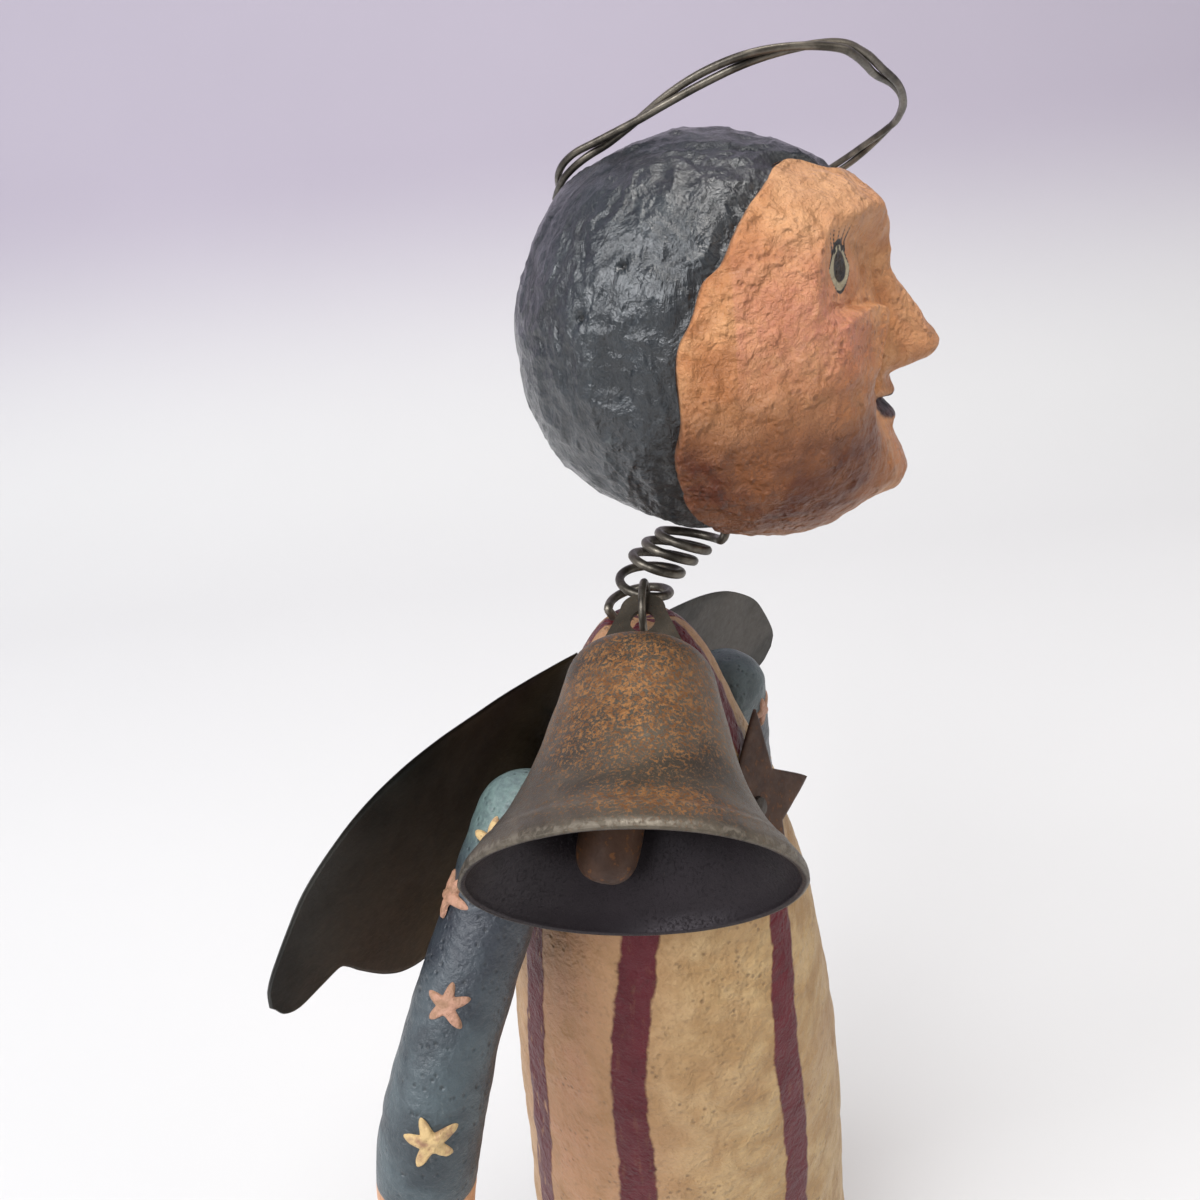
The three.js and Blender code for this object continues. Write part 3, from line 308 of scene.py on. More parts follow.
def look_dress():
    """Cream paint, rosy and dirty in places, under maroon stripes."""
    k = Look("dress_paint")
    broad = k.noise(38, 3, 0.6)
    blotch = k.noise(9, 5, 0.62, 0.4)
    grain = k.noise(1.1, 4, 0.6)
    relief = k.noise(3.4, 6, 0.64, 0.8)
    pits = k.span(k.cells(1.5), 0.05, 0.4)
    zone = k.span(k.noise(7, 3, 0.6), 0.45, 0.64)
    dirt = k.times(k.span(pits, 0.75, 0), zone)
    cream = k.coats(
        (0.375, 0.225, 0.093),
        (k.span(blotch, 0.36, 0.66), (0.52, 0.355, 0.172)),
        (k.span(broad, 0.42, 0.72, 0, 0.5), (0.36, 0.2, 0.095)),
        (k.times(k.attr("rosy"), k.span(blotch, 0.3, 0.7, 0.45, 1)), (0.5, 0.235, 0.125)),
        (k.times(dirt, 0.6), (0.19, 0.11, 0.05)),
        (k.span(grain, 0.52, 0.72, 0, 0.3), (0.24, 0.145, 0.065)))
    edge = k.plus(k.attr("stripe"), k.wander(5, 4, 2.4))
    worn = k.span(k.noise(2.6, 4, 0.7, 0, k.stretch(1.6, 1.6, 0.35)), 0.56, 0.68, 1, 0.15)
    paint = k.times(k.span(edge, 0.35, -0.35), k.mix(k.attr("crack"), (1, 1, 1), worn))
    maroon = k.mix(k.noise(6, 4, 0.6), (0.062, 0.006, 0.01), (0.15, 0.02, 0.028))
    height = k.layers((k.times(pits, zone), 0.4), (grain, 0.5), (blotch, 0.7), (relief, 0.9), (paint, 0.28))
    rough = k.mix(paint, k.span(blotch, 0.3, 0.7, 0.56, 0.44), (0.4, 0.4, 0.4))
    return k.finish(k.mix(paint, cream, maroon), rough, k.bump(height, 1.1, 0.85),
                    Coat_Weight=k.times(paint, 0.06), Coat_Roughness=0.22,
                    Specular_IOR_Level=k.span(paint, 0, 1, 0.4, 0.22))


def flesh_tones(k):
    """Orange-tan paint, brown in its hollows: colour, roughness, relief and two noises."""
    blotch = k.noise(8, 5, 0.62, 0.3)
    broad = k.noise(26, 3, 0.6)
    fine = k.noise(1.2, 5, 0.6)
    relief = k.noise(3, 6, 0.62, 0.3)
    pits = k.span(k.cells(1.6), 0.05, 0.4)
    zone = k.span(k.noise(6, 3, 0.6), 0.46, 0.62)
    dirt = k.times(k.span(pits, 0.7, 0), zone)
    color = k.coats(
        (0.46, 0.18, 0.064),
        (k.span(blotch, 0.35, 0.66), (0.69, 0.34, 0.15)),
        (k.span(broad, 0.45, 0.7, 0, 0.5), (0.37, 0.135, 0.052)),
        (k.times(dirt, 0.5), (0.18, 0.065, 0.03)),
        (k.span(fine, 0.52, 0.7, 0, 0.25), (0.24, 0.1, 0.045)))
    height = k.layers((blotch, 0.9), (fine, 0.4), (relief, 1), (k.times(pits, zone), 0.3))
    return color, k.span(fine, 0.3, 0.7, 0.32, 0.48), height, blotch, fine


def look_sleeve():
    """Blue-black paint that ends above a bare cuff, with a painted highlight on the shoulder, strong on the
    near arm and weak on the far one.
    """
    k = Look("sleeve_paint")
    flesh, flesh_rough, _, blotch, fine = flesh_tones(k)
    pits = k.span(k.cells(1.8), 0.04, 0.32)
    rub = k.span(k.noise(3.2, 5, 0.72, 0, k.stretch(1, 1, 0.45)), 0.62, 0.71)
    bare = k.span(k.plus(k.attr("cuff"), k.wander(3, 3, 0.9)), -0.15, 0.15)
    color = k.coats(
        (0.026, 0.036, 0.044),
        (k.span(blotch, 0.35, 0.68), (0.068, 0.092, 0.103)),
        # painted highlight: lighter blue-green on the round top of the shoulder
        (k.times(k.attr("shoulder_highlight"), k.span(fine, 0.3, 0.65, 0.45, 0.95)), (0.15, 0.22, 0.205)),
        (k.times(k.attr("navy"), 0.6), (0.03, 0.031, 0.044)),
        (k.times(rub, 0.28), (0.26, 0.29, 0.28)),
        (k.span(pits, 0.7, 0, 0, 0.55), (0.01, 0.013, 0.016)),
        (bare, flesh))
    height = k.layers((blotch, 1.1), (fine, 0.5), (pits, 0.25), (bare, -0.5))
    rough = k.mix(bare, k.span(fine, 0.3, 0.7, 0.38, 0.52), flesh_rough)
    return k.finish(color, rough, k.bump(height, 0.9, 0.75), Coat_Weight=0.2, Coat_Roughness=0.3)


def look_hand():
    k = Look("hand_paint")
    color, rough, height, _, _ = flesh_tones(k)
    return k.finish(color, rough, k.bump(height, 0.8, 0.75), Coat_Weight=0.15, Coat_Roughness=0.3)


def look_face():
    """Flesh paint with blush, eyes, lashes and lips, a light painted highlight on the brow and nose, brown
    painted shade low on the face and dark painted shade along the hair.
    """
    k = Look("face_paint")
    color, rough, height, blotch, fine = flesh_tones(k)
    uneven = k.wander(2, 3, 0.9)

    def stroke(name, share, soft):
        return k.span(k.plus(k.attr(name), k.times(uneven, share)), soft, -soft)

    white = stroke("eye", 0.3, 0.15)
    iris = k.times(k.span(k.attr("iris"), 0.12, -0.12), white)
    brown = k.mix(k.span(fine, 0.4, 0.6), (0.012, 0.01, 0.01), (0.04, 0.026, 0.016))
    red = k.mix(k.span(k.attr("mouth"), 0.6, -0.3), (0.04, 0.007, 0.008), (0.008, 0.003, 0.003))
    # painted shade: darker paint along the seam where the face meets the hair
    rim = k.span(k.plus(k.attr("rim"), uneven), 0.8, 0.1)
    color = k.coats(
        color,
        # painted highlight: lighter tan on the brow, forehead and nose, where light falls
        (k.times(k.attr("brow"), 0.4), (0.62, 0.37, 0.21)),
        (k.times(k.attr("cheek"), k.span(fine, 0.3, 0.7, 0.35, 0.8)), (0.54, 0.2, 0.14)),
        # painted shade: brown darkening towards the bottom and sides of the face and under the hair
        (k.times(k.attr("face_shade"), k.span(blotch, 0.3, 0.65, 0.5, 1)), (0.12, 0.028, 0.009)),
        (white, (0.42, 0.37, 0.25)),
        (iris, brown),
        (stroke("lash", 0.2, 0.1), (0.01, 0.009, 0.009)),
        (stroke("lips", 0.6, 0.2), red),
        (k.times(rim, 0.6), (0.12, 0.06, 0.035)))
    return k.finish(color, rough, k.bump(height, 1.9, 0.9), Coat_Weight=0.12, Coat_Roughness=0.22,
                    Specular_IOR_Level=0.32)


def look_hair():
    """Black lacquer over crumpled paper, smoother than the paint under it, with painted glints, painted shade
    along the face and underneath, and near-black painted shade where the wires go in.
    """
    k = Look("hair_paint")
    sheet = k.noise(7, 6, 0.66, 0.9, k.stretch(1, 1, 0.6))
    fine = k.noise(1.5, 5, 0.62, 0.3)
    crack = k.cells(5.5, "DISTANCE_TO_EDGE")
    # painted glints: light flecks standing in for reflections on the lacquer
    painted_glint = k.times(k.span(sheet, 0.56, 0.74), k.span(fine, 0.44, 0.62))
    color = k.coats(
        (0.003, 0.006, 0.01),
        (k.span(sheet, 0.32, 0.66), (0.011, 0.018, 0.025)),
        (k.times(painted_glint, 0.5), (0.12, 0.14, 0.145)),
        (k.times(k.attr("shade"), 0.8), (0.005, 0.006, 0.008)),
        # painted shade: near-black where the wires go into the hair
        (k.span(k.attr("hole_shade"), 0.5, 0.9), (0.002, 0.002, 0.002)))
    height = k.layers((sheet, 1.3), (fine, 0.5), (k.noise(3.2, 5, 0.62, 1.2), 0.7))
    lacquer = k.bump(height, 0.5, 0.9)
    height = k.plus(height, k.span(crack, 0, 0.1, 0, 0.12))
    return k.finish(color, k.span(fine, 0.3, 0.7, 0.4, 0.55), k.bump(height, 2.4, 0.95), Coat_Weight=0.9,
                    Coat_Roughness=0.22, Specular_IOR_Level=0.2, Coat_Normal=lacquer, Coat_IOR=1.7)


def look_clay():
    k = Look("clay_star_paint")
    lump = k.noise(2.4, 5, 0.62, 0.4)
    fine = k.noise(0.6, 4, 0.6)
    base = k.mix(k.attr("gold"), (0.47, 0.25, 0.168), (0.6, 0.42, 0.195))
    color = k.coats(
        (0.32, 0.175, 0.1),
        (k.span(lump, 0.33, 0.6), base),
        (k.span(fine, 0.58, 0.7, 0, 0.5), (0.14, 0.08, 0.04)))
    height = k.layers((lump, 1), (fine, 0.3))
    return k.finish(color, k.span(fine, 0.3, 0.7, 0.5, 0.7), k.bump(height, 0.7, 0.9))


def look_tin(name, dark, light, rust, rust_from, rough, metal):
    k = Look(name)
    cloud = k.noise(22, 5, 0.62, 0.5)
    fine = k.noise(1.4, 5, 0.65)
    scratch = k.noise(1.1, 3, 0.6, 0, k.stretch(1, 0.12, 0.25))
    spots = k.times(k.span(fine, rust_from, rust_from + 0.1), k.span(cloud, 0.35, 0.6))
    color = k.coats(
        dark,
        (k.span(cloud, 0.36, 0.68), light),
        (k.times(spots, 0.8), rust),
        (k.span(scratch, 0.7, 0.78, 0, 0.25), (0.2, 0.17, 0.14)))
    height = k.layers((fine, 1), (cloud, 2))
    return k.finish(color, k.span(fine, 0.3, 0.7, *rough), k.bump(height, 0.16, 0.6), Metallic=metal)


def look_bell():
    """Brown bronze with specks of rust, a rubbed rim and painted shade darkening the inside of the cup."""
    k = Look("bell_bronze")
    cloud = k.noise(16, 5, 0.62, 0.6)
    speck = k.noise(0.48, 5, 0.74)
    fleck = k.noise(1.4, 4, 0.68, 0.5)
    scratch = k.noise(1, 3, 0.6, 0, k.stretch(1, 1, 0.1))
    rust_here = k.times(k.attr("rust"), k.span(cloud, 0.28, 0.55, 0.45, 1))
    specks = k.span(k.plus(speck, k.times(rust_here, 0.12)), 0.56, 0.62)
    rust = k.mix(k.span(fleck, 0.4, 0.62), (0.2, 0.078, 0.021), (0.38, 0.175, 0.056))
    # painted shade for the inner wall of the cup
    dark = k.mix(cloud, (0.009, 0.0066, 0.008), (0.03, 0.021, 0.026))
    color = k.coats(
        (0.046, 0.037, 0.026),
        (k.span(cloud, 0.35, 0.68), (0.112, 0.092, 0.067)),
        (k.times(specks, k.span(rust_here, 0.02, 0.5, 0.16, 0.85)), rust),
        (k.times(k.attr("rim"), k.span(fleck, 0.42, 0.6, 0.1, 0.8)), (0.22, 0.19, 0.15)),
        (k.attr("inside"), dark),
        (k.span(scratch, 0.7, 0.78, 0, 0.2), (0.2, 0.165, 0.12)))
    height = k.layers((speck, 0.8), (specks, 0.5))
    return k.finish(color, k.span(speck, 0.3, 0.7, 0.38, 0.58), k.bump(height, 0.16, 0.55), Metallic=0.5)


def look_wire(name, dark, light):
    k = Look(name)
    patch = k.noise(6, 5, 0.65, 0.4)
    fine = k.noise(0.5, 4, 0.65)
    color = k.coats(
        dark,
        (k.span(patch, 0.36, 0.66), light),
        (k.span(fine, 0.6, 0.72, 0, 0.45), (0.14, 0.065, 0.028)))
    return k.finish(color, k.span(fine, 0.3, 0.7, 0.3, 0.48), k.bump(fine, 0.06, 0.6), Metallic=0.8)


def look_pulp():
    k = Look("bare_pulp")
    lump = k.noise(5, 5, 0.65, 0.4)
    fine = k.noise(0.8, 5, 0.65)
    color = k.coats(
        (0.3, 0.23, 0.15),
        (k.span(lump, 0.35, 0.65), (0.48, 0.39, 0.27)),
        (k.span(fine, 0.55, 0.7, 0, 0.4), (0.18, 0.13, 0.08)))
    height = k.layers((lump, 1), (fine, 0.4))
    return k.finish(color, k.span(fine, 0.3, 0.7, 0.75, 0.92), k.bump(height, 0.5, 0.8))


def look_stage():
    k = Look("stage_paper")
    soft = k.noise(420, 3, 0.5)
    fine = k.noise(3, 3, 0.6)
    low = k.mix(soft, (0.71, 0.71, 0.7), (0.75, 0.75, 0.74))
    high = k.mix(soft, (0.44, 0.4, 0.475), (0.49, 0.445, 0.525))
    up = k.node("SeparateXYZ", Vector=k.pos).outputs["Z"]
    color = k.mix(k.span(up, 0.02, 0.3), low, high)
    return k.finish(color, k.span(fine, 0.3, 0.7, 0.8, 0.95), k.bump(fine, 0.05, 0.3), Specular_IOR_Level=0.2)


DRESS = look_dress()
SLEEVE = look_sleeve()
FACE = look_face()
HAND = look_hand()
HAIR = look_hair()
CLAY = look_clay()
# the same tin in two copies: painted shade makes the near wing darker, painted light makes the far wing
# lighter
NEAR_WING_SHADED = look_tin("wing_tin_near_shaded", (0.019, 0.0182, 0.0158), (0.05, 0.048, 0.042), (0.05, 0.03, 0.017),
                     rust_from=0.66, rough=(0.34, 0.48), metal=0.35)
FAR_WING_LIT = look_tin("wing_tin_far_lit", (0.028, 0.025, 0.021), (0.075, 0.066, 0.056), (0.09, 0.05, 0.025),
                    rust_from=0.66, rough=(0.38, 0.55), metal=0.4)
RUSTY = look_tin("rusty_tin", (0.032, 0.014, 0.008), (0.105, 0.05, 0.027), (0.22, 0.085, 0.025),
                 rust_from=0.56, rough=(0.5, 0.7), metal=0.3)
BELL = look_bell()
WIRE = look_wire("dark_wire", (0.06, 0.052, 0.042), (0.21, 0.185, 0.15))
NAIL = look_wire("nail_steel", (0.03, 0.026, 0.022), (0.12, 0.1, 0.085))
PULP = look_pulp()
STAGE = look_stage()


# Dress: outline rows are (share of the height, share of the hem's radius)

HEM_R = 40.0
DRESS_H = 218.4
NECK_R = 6.2
DRESS_OUTLINE = [(0, 1), (0.05, 0.985), (0.14, 0.95), (0.28, 0.905), (0.4, 0.88), (0.54, 0.845),
                 (0.63, 0.805), (0.72, 0.727), (0.81, 0.598), (0.86, 0.51), (0.905, 0.426), (0.944, 0.344),
                 (0.972, 0.272), (0.991, 0.206)]
dress_rows = [(r * HEM_R, h * DRESS_H) for h, r in DRESS_OUTLINE] + [(NECK_R, DRESS_H)]
dress_profile = smooth_table(dress_rows, 340)

# Each stripe's place round the hem and how far it leans at the neck, in degrees
STRIPES = np.array([(-157, 8), (-101, 28), (-43, 12), (16, 0), (84, -8), (162, -33)], float)
NARROW_STRIPE = 1
CRACKED_STRIPE = 5
STRIPE_HALF = np.array([(0, 3.7), (120, 3.5), (170, 3.3), (205, 2.4), (218, 1.5)])
LEAN_FROM = 140
ROSY_SIDE = math.radians(178)


def dress_radius(z):
    return lookup(z, dress_profile[:, ::-1])


def make_dress():
    low = [(HEM_R - 3.4, 0.4), (HEM_R - 2.6, 0.0), (HEM_R - 0.6, 0.0)]
    top = [(NECK_R * s, DRESS_H + 0.25 * (1 - s * s)) for s in (0.85, 0.6, 0.3, 0.0)]
    pts, faces = turned(np.concatenate([low, dress_profile[1:], top]), 360)
    z = pts[:, 2]
    lump = 0.34 * fbm(pts, 24, 3, 3) + 0.18 * fbm(pts, 6, 3, 8) + 0.05 * ridged(pts, 5, 3, 12)
    fade = ease((z - 2) / 6) * ease((DRESS_H - z) / 8)
    pts = pts + units(pts * [1, 1, 0]) * (lump * fade)[:, None]
    turn = np.arctan2(pts[:, 1], pts[:, 0])
    lean = ease((z - LEAN_FROM) / 75)
    centres = np.radians(STRIPES[None, :, 0] + STRIPES[None, :, 1] * lean[:, None])
    wave = 0.035 * np.sin(z / 21) + 0.025 * np.sin(z / 9.5 + 2)
    gap = np.abs(wrap(turn[:, None] - centres - wave[:, None]))
    which = gap.argmin(1)
    half = lookup(z, STRIPE_HALF) * np.where(which == NARROW_STRIPE, 0.9, 1)
    rosy = 0.85 * bump(wrap(turn - ROSY_SIDE), 0.42) + 0.45 * ease((z - 195) / 20)
    crack = np.where(which == CRACKED_STRIPE, 1.0, 0.12)
    marks = {"stripe": gap.min(1) * dress_radius(z) - half, "rosy": np.clip(rosy, 0, 1), "crack": crack}
    make("dress", pts, faces, DRESS, "torso", ["body_shell"], marks)


# Arms: curve rows are (out, down, girth) as shares of the sleeve's length and radius

SHOULDER = np.array([0, 3.0, 191.4])
SLEEVE_R = 8.1
SLEEVE_LEN = 59.0
SLEEVE_OFF = 3.2
REACH = float(dress_radius(SHOULDER[2])) + SLEEVE_OFF + SLEEVE_R
SLEEVE_CURVE = [(0, 0, 1), (0.12, 0.15, 0.985), (0.22, 0.297, 0.955), (0.305, 0.43, 0.965), (0.378, 0.56, 1),
                (0.439, 0.695, 1.035), (0.49, 0.856, 1.02), (0.515, 1, 0.94)]
CUFF_LIP = [(0.15, 0.97), (0.05, 0.9), (-0.3, 0.8), (-0.6, 0.66)]
CUFF_FROM = 0.885
SLEEVE_RUN = 60

# Side, splay, rise in millimetres and swing in degrees
ARMS = {"right": (-1, 1.14, 3, 0), "left": (1, 0.5, -3, 9)}
# strength of the painted shoulder highlight: full on the lit near arm, weak on the shaded far arm
SHOULDER_HIGHLIGHT = {"right": 1, "left": 0.25}


def arm_path(label, count):
    """Middle of a sleeve, its girth, and the directions along, ahead and across at each point."""
    side, splay, rise, swing = ARMS[label]
    c, s = math.cos(math.radians(swing)), math.sin(math.radians(swing))
    pts = []
    for out, down, _ in SLEEVE_CURVE:
        z = rise - down * SLEEVE_LEN
        pts.append(SHOULDER + [side * (REACH + out * SLEEVE_LEN * splay), -z * s, z * c])
    path = resample(pts, count)
    girth = smooth_table([(d, g) for _, d, g in SLEEVE_CURVE], count)[:, 1]
    along = units(np.gradient(path, axis=0))
    ahead = units(np.array([0, -1.0, 0]) + along * along[:, 1:2])
    return path, girth, along, ahead, np.cross(ahead, along)


def make_sleeve(label):
    count, sides = 130, 120
    path, girth, along, ahead, across = arm_path(label, count)
    round_top = np.sin(np.linspace(0.02, math.pi / 2 - 0.03, 26))
    rings = [(path[0] - along[0] * SLEEVE_R * math.sqrt(1 - s * s), 0, SLEEVE_R * s) for s in round_top]
    rings += [(path[i], i, SLEEVE_R * girth[i]) for i in range(count)]
    rings += [(path[-1] + along[-1] * d, -1, SLEEVE_R * girth[-1] * f) for d, f in CUFF_LIP]
    share = [0] * len(round_top) + [i / (count - 1) for i in range(count)] + [1] * len(CUFF_LIP)
    share = np.repeat(share, sides)
    pts = np.array([c + across[i] * r * math.cos(t) + ahead[i] * r * math.sin(t)
                    for c, i, r in rings for t in circle(sides)])
    out = units(pts - np.repeat([c for c, _, _ in rings], sides, 0))
    lump = 0.26 * fbm(pts, 11, 3, 21) + 0.1 * fbm(pts, 3.6, 2, 25)
    pts = pts + out * (lump * ease((1 - share) / 0.05))[:, None]
    # painted highlight on the shoulder's round top, scaled for each arm
    marks = {"shoulder_highlight": (1 - ease((share - 0.02) / 0.16)) * SHOULDER_HIGHLIGHT[label],
             "navy": bump(share - 0.28, 0.14), "cuff": (share - CUFF_FROM) * SLEEVE_RUN}
    make(f"{label}_sleeve_paper", pts, grid_faces(len(rings), sides, True), SLEEVE, f"{label}_arm",
         [f"{label}_sleeve"], marks)


# Clay stars: share along the sleeve, angle round it, radius and spin

STARS = {
    "right": [(0.43, 22, 3.8, 8), (0.71, 43, 4.3, 24), (0.21, -24, 3.8, 40), (0.07, 10, 3.6, 12),
              (0.57, 225, 3.9, 50)],
    "left": [(0.07, 86, 3.8, 8), (0.79, 46, 4.2, 24), (0.36, -30, 3.8, 40), (0.57, 20, 3.9, 12),
             (0.64, 255, 3.9, 50)],
}
STAR_STEPS = 15
STAR_SEAT = 0.12
FLAT_STARS = "a"
ROSY_STARS = "ac"


def make_star(label, mark, share, angle, radius, spin, seed):
    """A blunt lump of clay pressed on the sleeve, bent to its round."""
    path, girth, along, ahead, across = arm_path(label, STAR_STEPS)
    step = round(share * (STAR_STEPS - 1))
    t, s = math.radians(angle), math.radians(spin)
    out = unit(across[step] * ARMS[label][0] * math.cos(t) + ahead[step] * math.sin(t))
    around = np.cross(along[step], out)
    y = -along[step] * math.cos(s) + around * math.sin(s)
    x = np.cross(y, out)
    rows, cols = 22, 110
    turn = circle(cols)
    rng = np.random.default_rng(seed)
    arms = radius * (1.1 + 0.13 * rng.uniform(-1, 1, 5))
    point = circle(5) + 0.16 * rng.uniform(-1, 1, 5)
    waist = radius * 0.4
    gap = wrap(turn[:, None] - point)
    edge = waist + ((arms - waist) * np.exp(-np.abs(gap / 0.34) ** 1.7)).max(1)
    edge = np.convolve(np.tile(edge, 3), np.ones(3) / 3, "same")[cols:2 * cols]
    thick, lump = (0.55, 0.1) if mark in FLAT_STARS else (0.85, 0.26)
    g = SLEEVE_R * girth[step]
    pts = []
    for f in np.linspace(0.02, 1, rows):
        q = spread(x, y, edge * f, turn)
        sink = g - np.sqrt(np.maximum(g * g - (q @ around) ** 2, 1))
        pts.append(path[step] + q + out * (g - STAR_SEAT + thick * (1 - f ** 6) ** 0.5 - sink)[:, None])
    pts = np.concatenate(pts)
    pts = pts + out * (lump * fbm(pts, 1.9, 3, seed + 40))[:, None]
    gold = np.full(len(pts), 0.0 if mark in ROSY_STARS else 1.0)
    make(f"{label}_clay_star_{mark}", pts, capped_faces(rows, cols), CLAY, f"{label}_arm",
         [f"{label}_star_{mark}"], {"gold": gold})


def make_hand(label):
    """The carved mitten hand, smoothed from its plain solid."""
    src = frame["nodes"][f"{label}_hand"]
    obj = bpy.data.objects.new("plain_hand", src.data.copy())
    scene.collection.objects.link(obj)
    m = obj.modifiers.new("fuse", "REMESH")
    m.mode = "VOXEL"
    m.voxel_size = 0.45 * MM
    m = obj.modifiers.new("soft", "SMOOTH")
    m.factor = 0.6
    m.iterations = 7
    bpy.context.view_layer.update()
    mesh = bpy.data.meshes.new_from_object(obj.evaluated_get(bpy.context.evaluated_depsgraph_get()))
    bpy.data.objects.remove(obj)
    pts = np.array([v.co for v in mesh.vertices], float) / MM
    out = np.array([v.normal for v in mesh.vertices], float)
    pts = pts + out * (0.16 * fbm(pts, 5, 3, 31))[:, None]
    faces = [p.vertices for p in mesh.polygons]
    make(f"{label}_hand_paper", pts, faces, HAND, f"{label}_arm", [f"{label}_hand"])


# Wings: edge rows are (share of the span, height over the wing's middle)

WING_MID = 185.0
WING_SPAN = 74.3
WING_ROOT = 1.2
WING_PIVOT = 5
SHEET_HALF = 0.45
WING_UPPER = [(0, 23.5), (0.05, 23.4), (0.12, 22.7), (0.19, 22), (0.31, 21.5), (0.45, 21.6), (0.58, 21.1),
              (0.69, 19.5), (0.785, 16.5), (0.867, 12.7), (0.927, 7.8), (0.976, 2.9), (0.994, 0.2), (1, -2)]
WING_LOWER = [(0, -5.4), (0.06, -8), (0.13, -14.6), (0.2, -21), (0.27, -24), (0.34, -24.6), (0.395, -21.6),
              (0.45, -25), (0.53, -26.4), (0.61, -24.4), (0.68, -20.2), (0.75, -14), (0.785, -10.4),
              (0.81, -8.9), (0.87, -9), (0.93, -9), (0.968, -7.4), (0.99, -4.6), (1, -3.4)]
wing_middle = float(dress_radius(WING_MID)) + 1.9

# Side, drop in millimetres, tilt in degrees and material
# the near wing takes the shaded copy of the tin, the far wing the lit copy
WINGS = {"right": (-1, 0, 0, NEAR_WING_SHADED), "left": (1, 3, 3.5, FAR_WING_LIT)}


def wing_back(x, z):
    """The sheet's place behind the middle: it leans, bows and tucks in at the neck."""
    over = np.maximum(z - WING_MID - 1, 0)
    tuck = 0.0085 * over ** 2 * np.exp(-(x / 13) ** 2)
    return wing_middle + 0.18 * (WING_MID - z) - 0.0012 * x * x - tuck


def make_wing(label):
    side, drop, tilt, look = WINGS[label]
    cols, rows = 170, 60
    share = np.sin(np.linspace(0, math.pi / 2, cols)) ** 0.9
    upper = lookup(share, smooth_table(WING_UPPER, 400))
    lower = lookup(share, smooth_table(WING_LOWER, 400))
    f = np.linspace(0, 1, rows)
    tall = (upper - lower)[:, None]
    lift = lower[:, None] + tall * f - WING_PIVOT
    out = (WING_ROOT + share * (WING_SPAN - WING_ROOT))[:, None]
    c, s = math.cos(math.radians(tilt)), math.sin(math.radians(tilt))
    x = side * (out * c + lift * s)
    z = WING_MID + WING_PIVOT + lift * c - out * s - drop
    rim = np.minimum(np.minimum(f, 1 - f) * tall, ((1 - share) * WING_SPAN)[:, None])
    thick = SHEET_HALF * np.sqrt(np.clip(rim / 0.35, 0.04, 1))
    middle = np.stack([x, wing_back(x, z), z], -1).reshape(-1, 3)
    dent = 0.14 * fbm(middle, 16, 2, 61)
    back = np.array([0, 1.0, 0])
    pts = np.concatenate([middle + back * (face * thick.ravel() + dent)[:, None] for face in (-1, 1)])
    n = cols * rows
    index = np.arange(n).reshape(cols, rows)
    loop = np.concatenate([index[:, 0], index[-1, 1:], index[-2::-1, -1], index[0, -2:0:-1]])
    faces = grid_faces(cols, rows)[:, ::-1].tolist() + grid_faces(cols, rows, False, n).tolist()
    faces += [[a, b, b + n, a + n] for a, b in zip(loop, np.roll(loop, -1))]
    if side < 0:
        faces = [q[::-1] for q in faces]
    make(f"{label}_wing_tin", pts, faces, look, "torso", [f"{label}_wing"])


# Chest star, with its directions out of the chest, to its upper point and across

STAR_AT = np.array([0.453, -21.647, 186.8])
STAR_OUT = unit((0.02, -0.948, 0.317))
STAR_UP = unit((0.494, 0.285, 0.821))
STAR_ACROSS = unit((0.869, -0.14, -0.474))
STAR_R = 17.7
STAR_NOTCH = 0.465
STAR_THICK = 0.9


def star_edge(turn):
    half = math.pi / 5
    a = np.abs((turn + half) % (2 * half) - half)
    notch_x, notch_y = STAR_R * STAR_NOTCH * math.cos(half), STAR_R * STAR_NOTCH * math.sin(half)
    reach = STAR_R * notch_y / (np.cos(a) * notch_y - np.sin(a) * (notch_x - STAR_R))
    soft = STAR_R / 12
    tip = 0.95 * STAR_R
    return -soft * np.log(np.exp(-reach / soft) + 0.35 * np.exp(-tip / soft))


def make_tin_star():
    cols, rows = 200, 26
    turn = circle(cols)
    edge = star_edge(turn)
    levels = [(f, STAR_THICK - 0.25 * ease((f - 0.93) / 0.07)) for f in np.linspace(0.02, 1, rows)]
    levels += [(1, 0.15), (0.97, 0), (0.3, 0)]
    pts = [STAR_AT + spread(STAR_ACROSS, STAR_UP, edge * f, turn) + STAR_OUT * h for f, h in levels]
    pts = np.concatenate(pts)
    pts = pts + STAR_OUT * (0.12 * fbm(pts, 9, 2, 77))[:, None]
    make("chest_star_tin", pts, capped_faces(len(levels), cols), RUSTY, "torso", ["tin_star"])


# Neck spring, in two lengths; rise rows are (turn, height over the neck)

SPRING_RISE = [(0, 2.4), (0.4, 3.9), (0.75, 5.88), (1.25, 8.05), (1.75, 9.6), (2.75, 11.85), (4.5, 14.7)]
SPRING_TURNS = 4.5
COIL_R = 4.8
SPRING_WIRE_R = 0.79
SPRING_FOOT = np.array([0.767, 1.216])
SPRING_LEAN = np.array([6.8, -8.3])
SPRING_TOP_AXIS = unit((0.36, -0.1, 0.92))
SPRING_START = math.radians(-50.5)
SPRING_TOP = 245.0
SPRING_CUT = 0.47


def coil_spot(turn, rise):
    """Point of the coil at a turn; its plane tips over as it climbs."""
    share = turn / SPRING_TURNS
    centre = np.array([*(SPRING_FOOT + SPRING_LEAN * share), DRESS_H + lookup(turn, rise)])
    settle = min(max(share - 0.1, 0) * 3, 1)
    n = unit(UP * (1 - settle) + SPRING_TOP_AXIS * settle)
    start = np.array([math.cos(SPRING_START), math.sin(SPRING_START), 0])
    r = unit(start - n * (start @ n))
    a = math.pi - 2 * math.pi * turn
    return centre + r * COIL_R * math.cos(a) + np.cross(n, r) * COIL_R * math.sin(a)


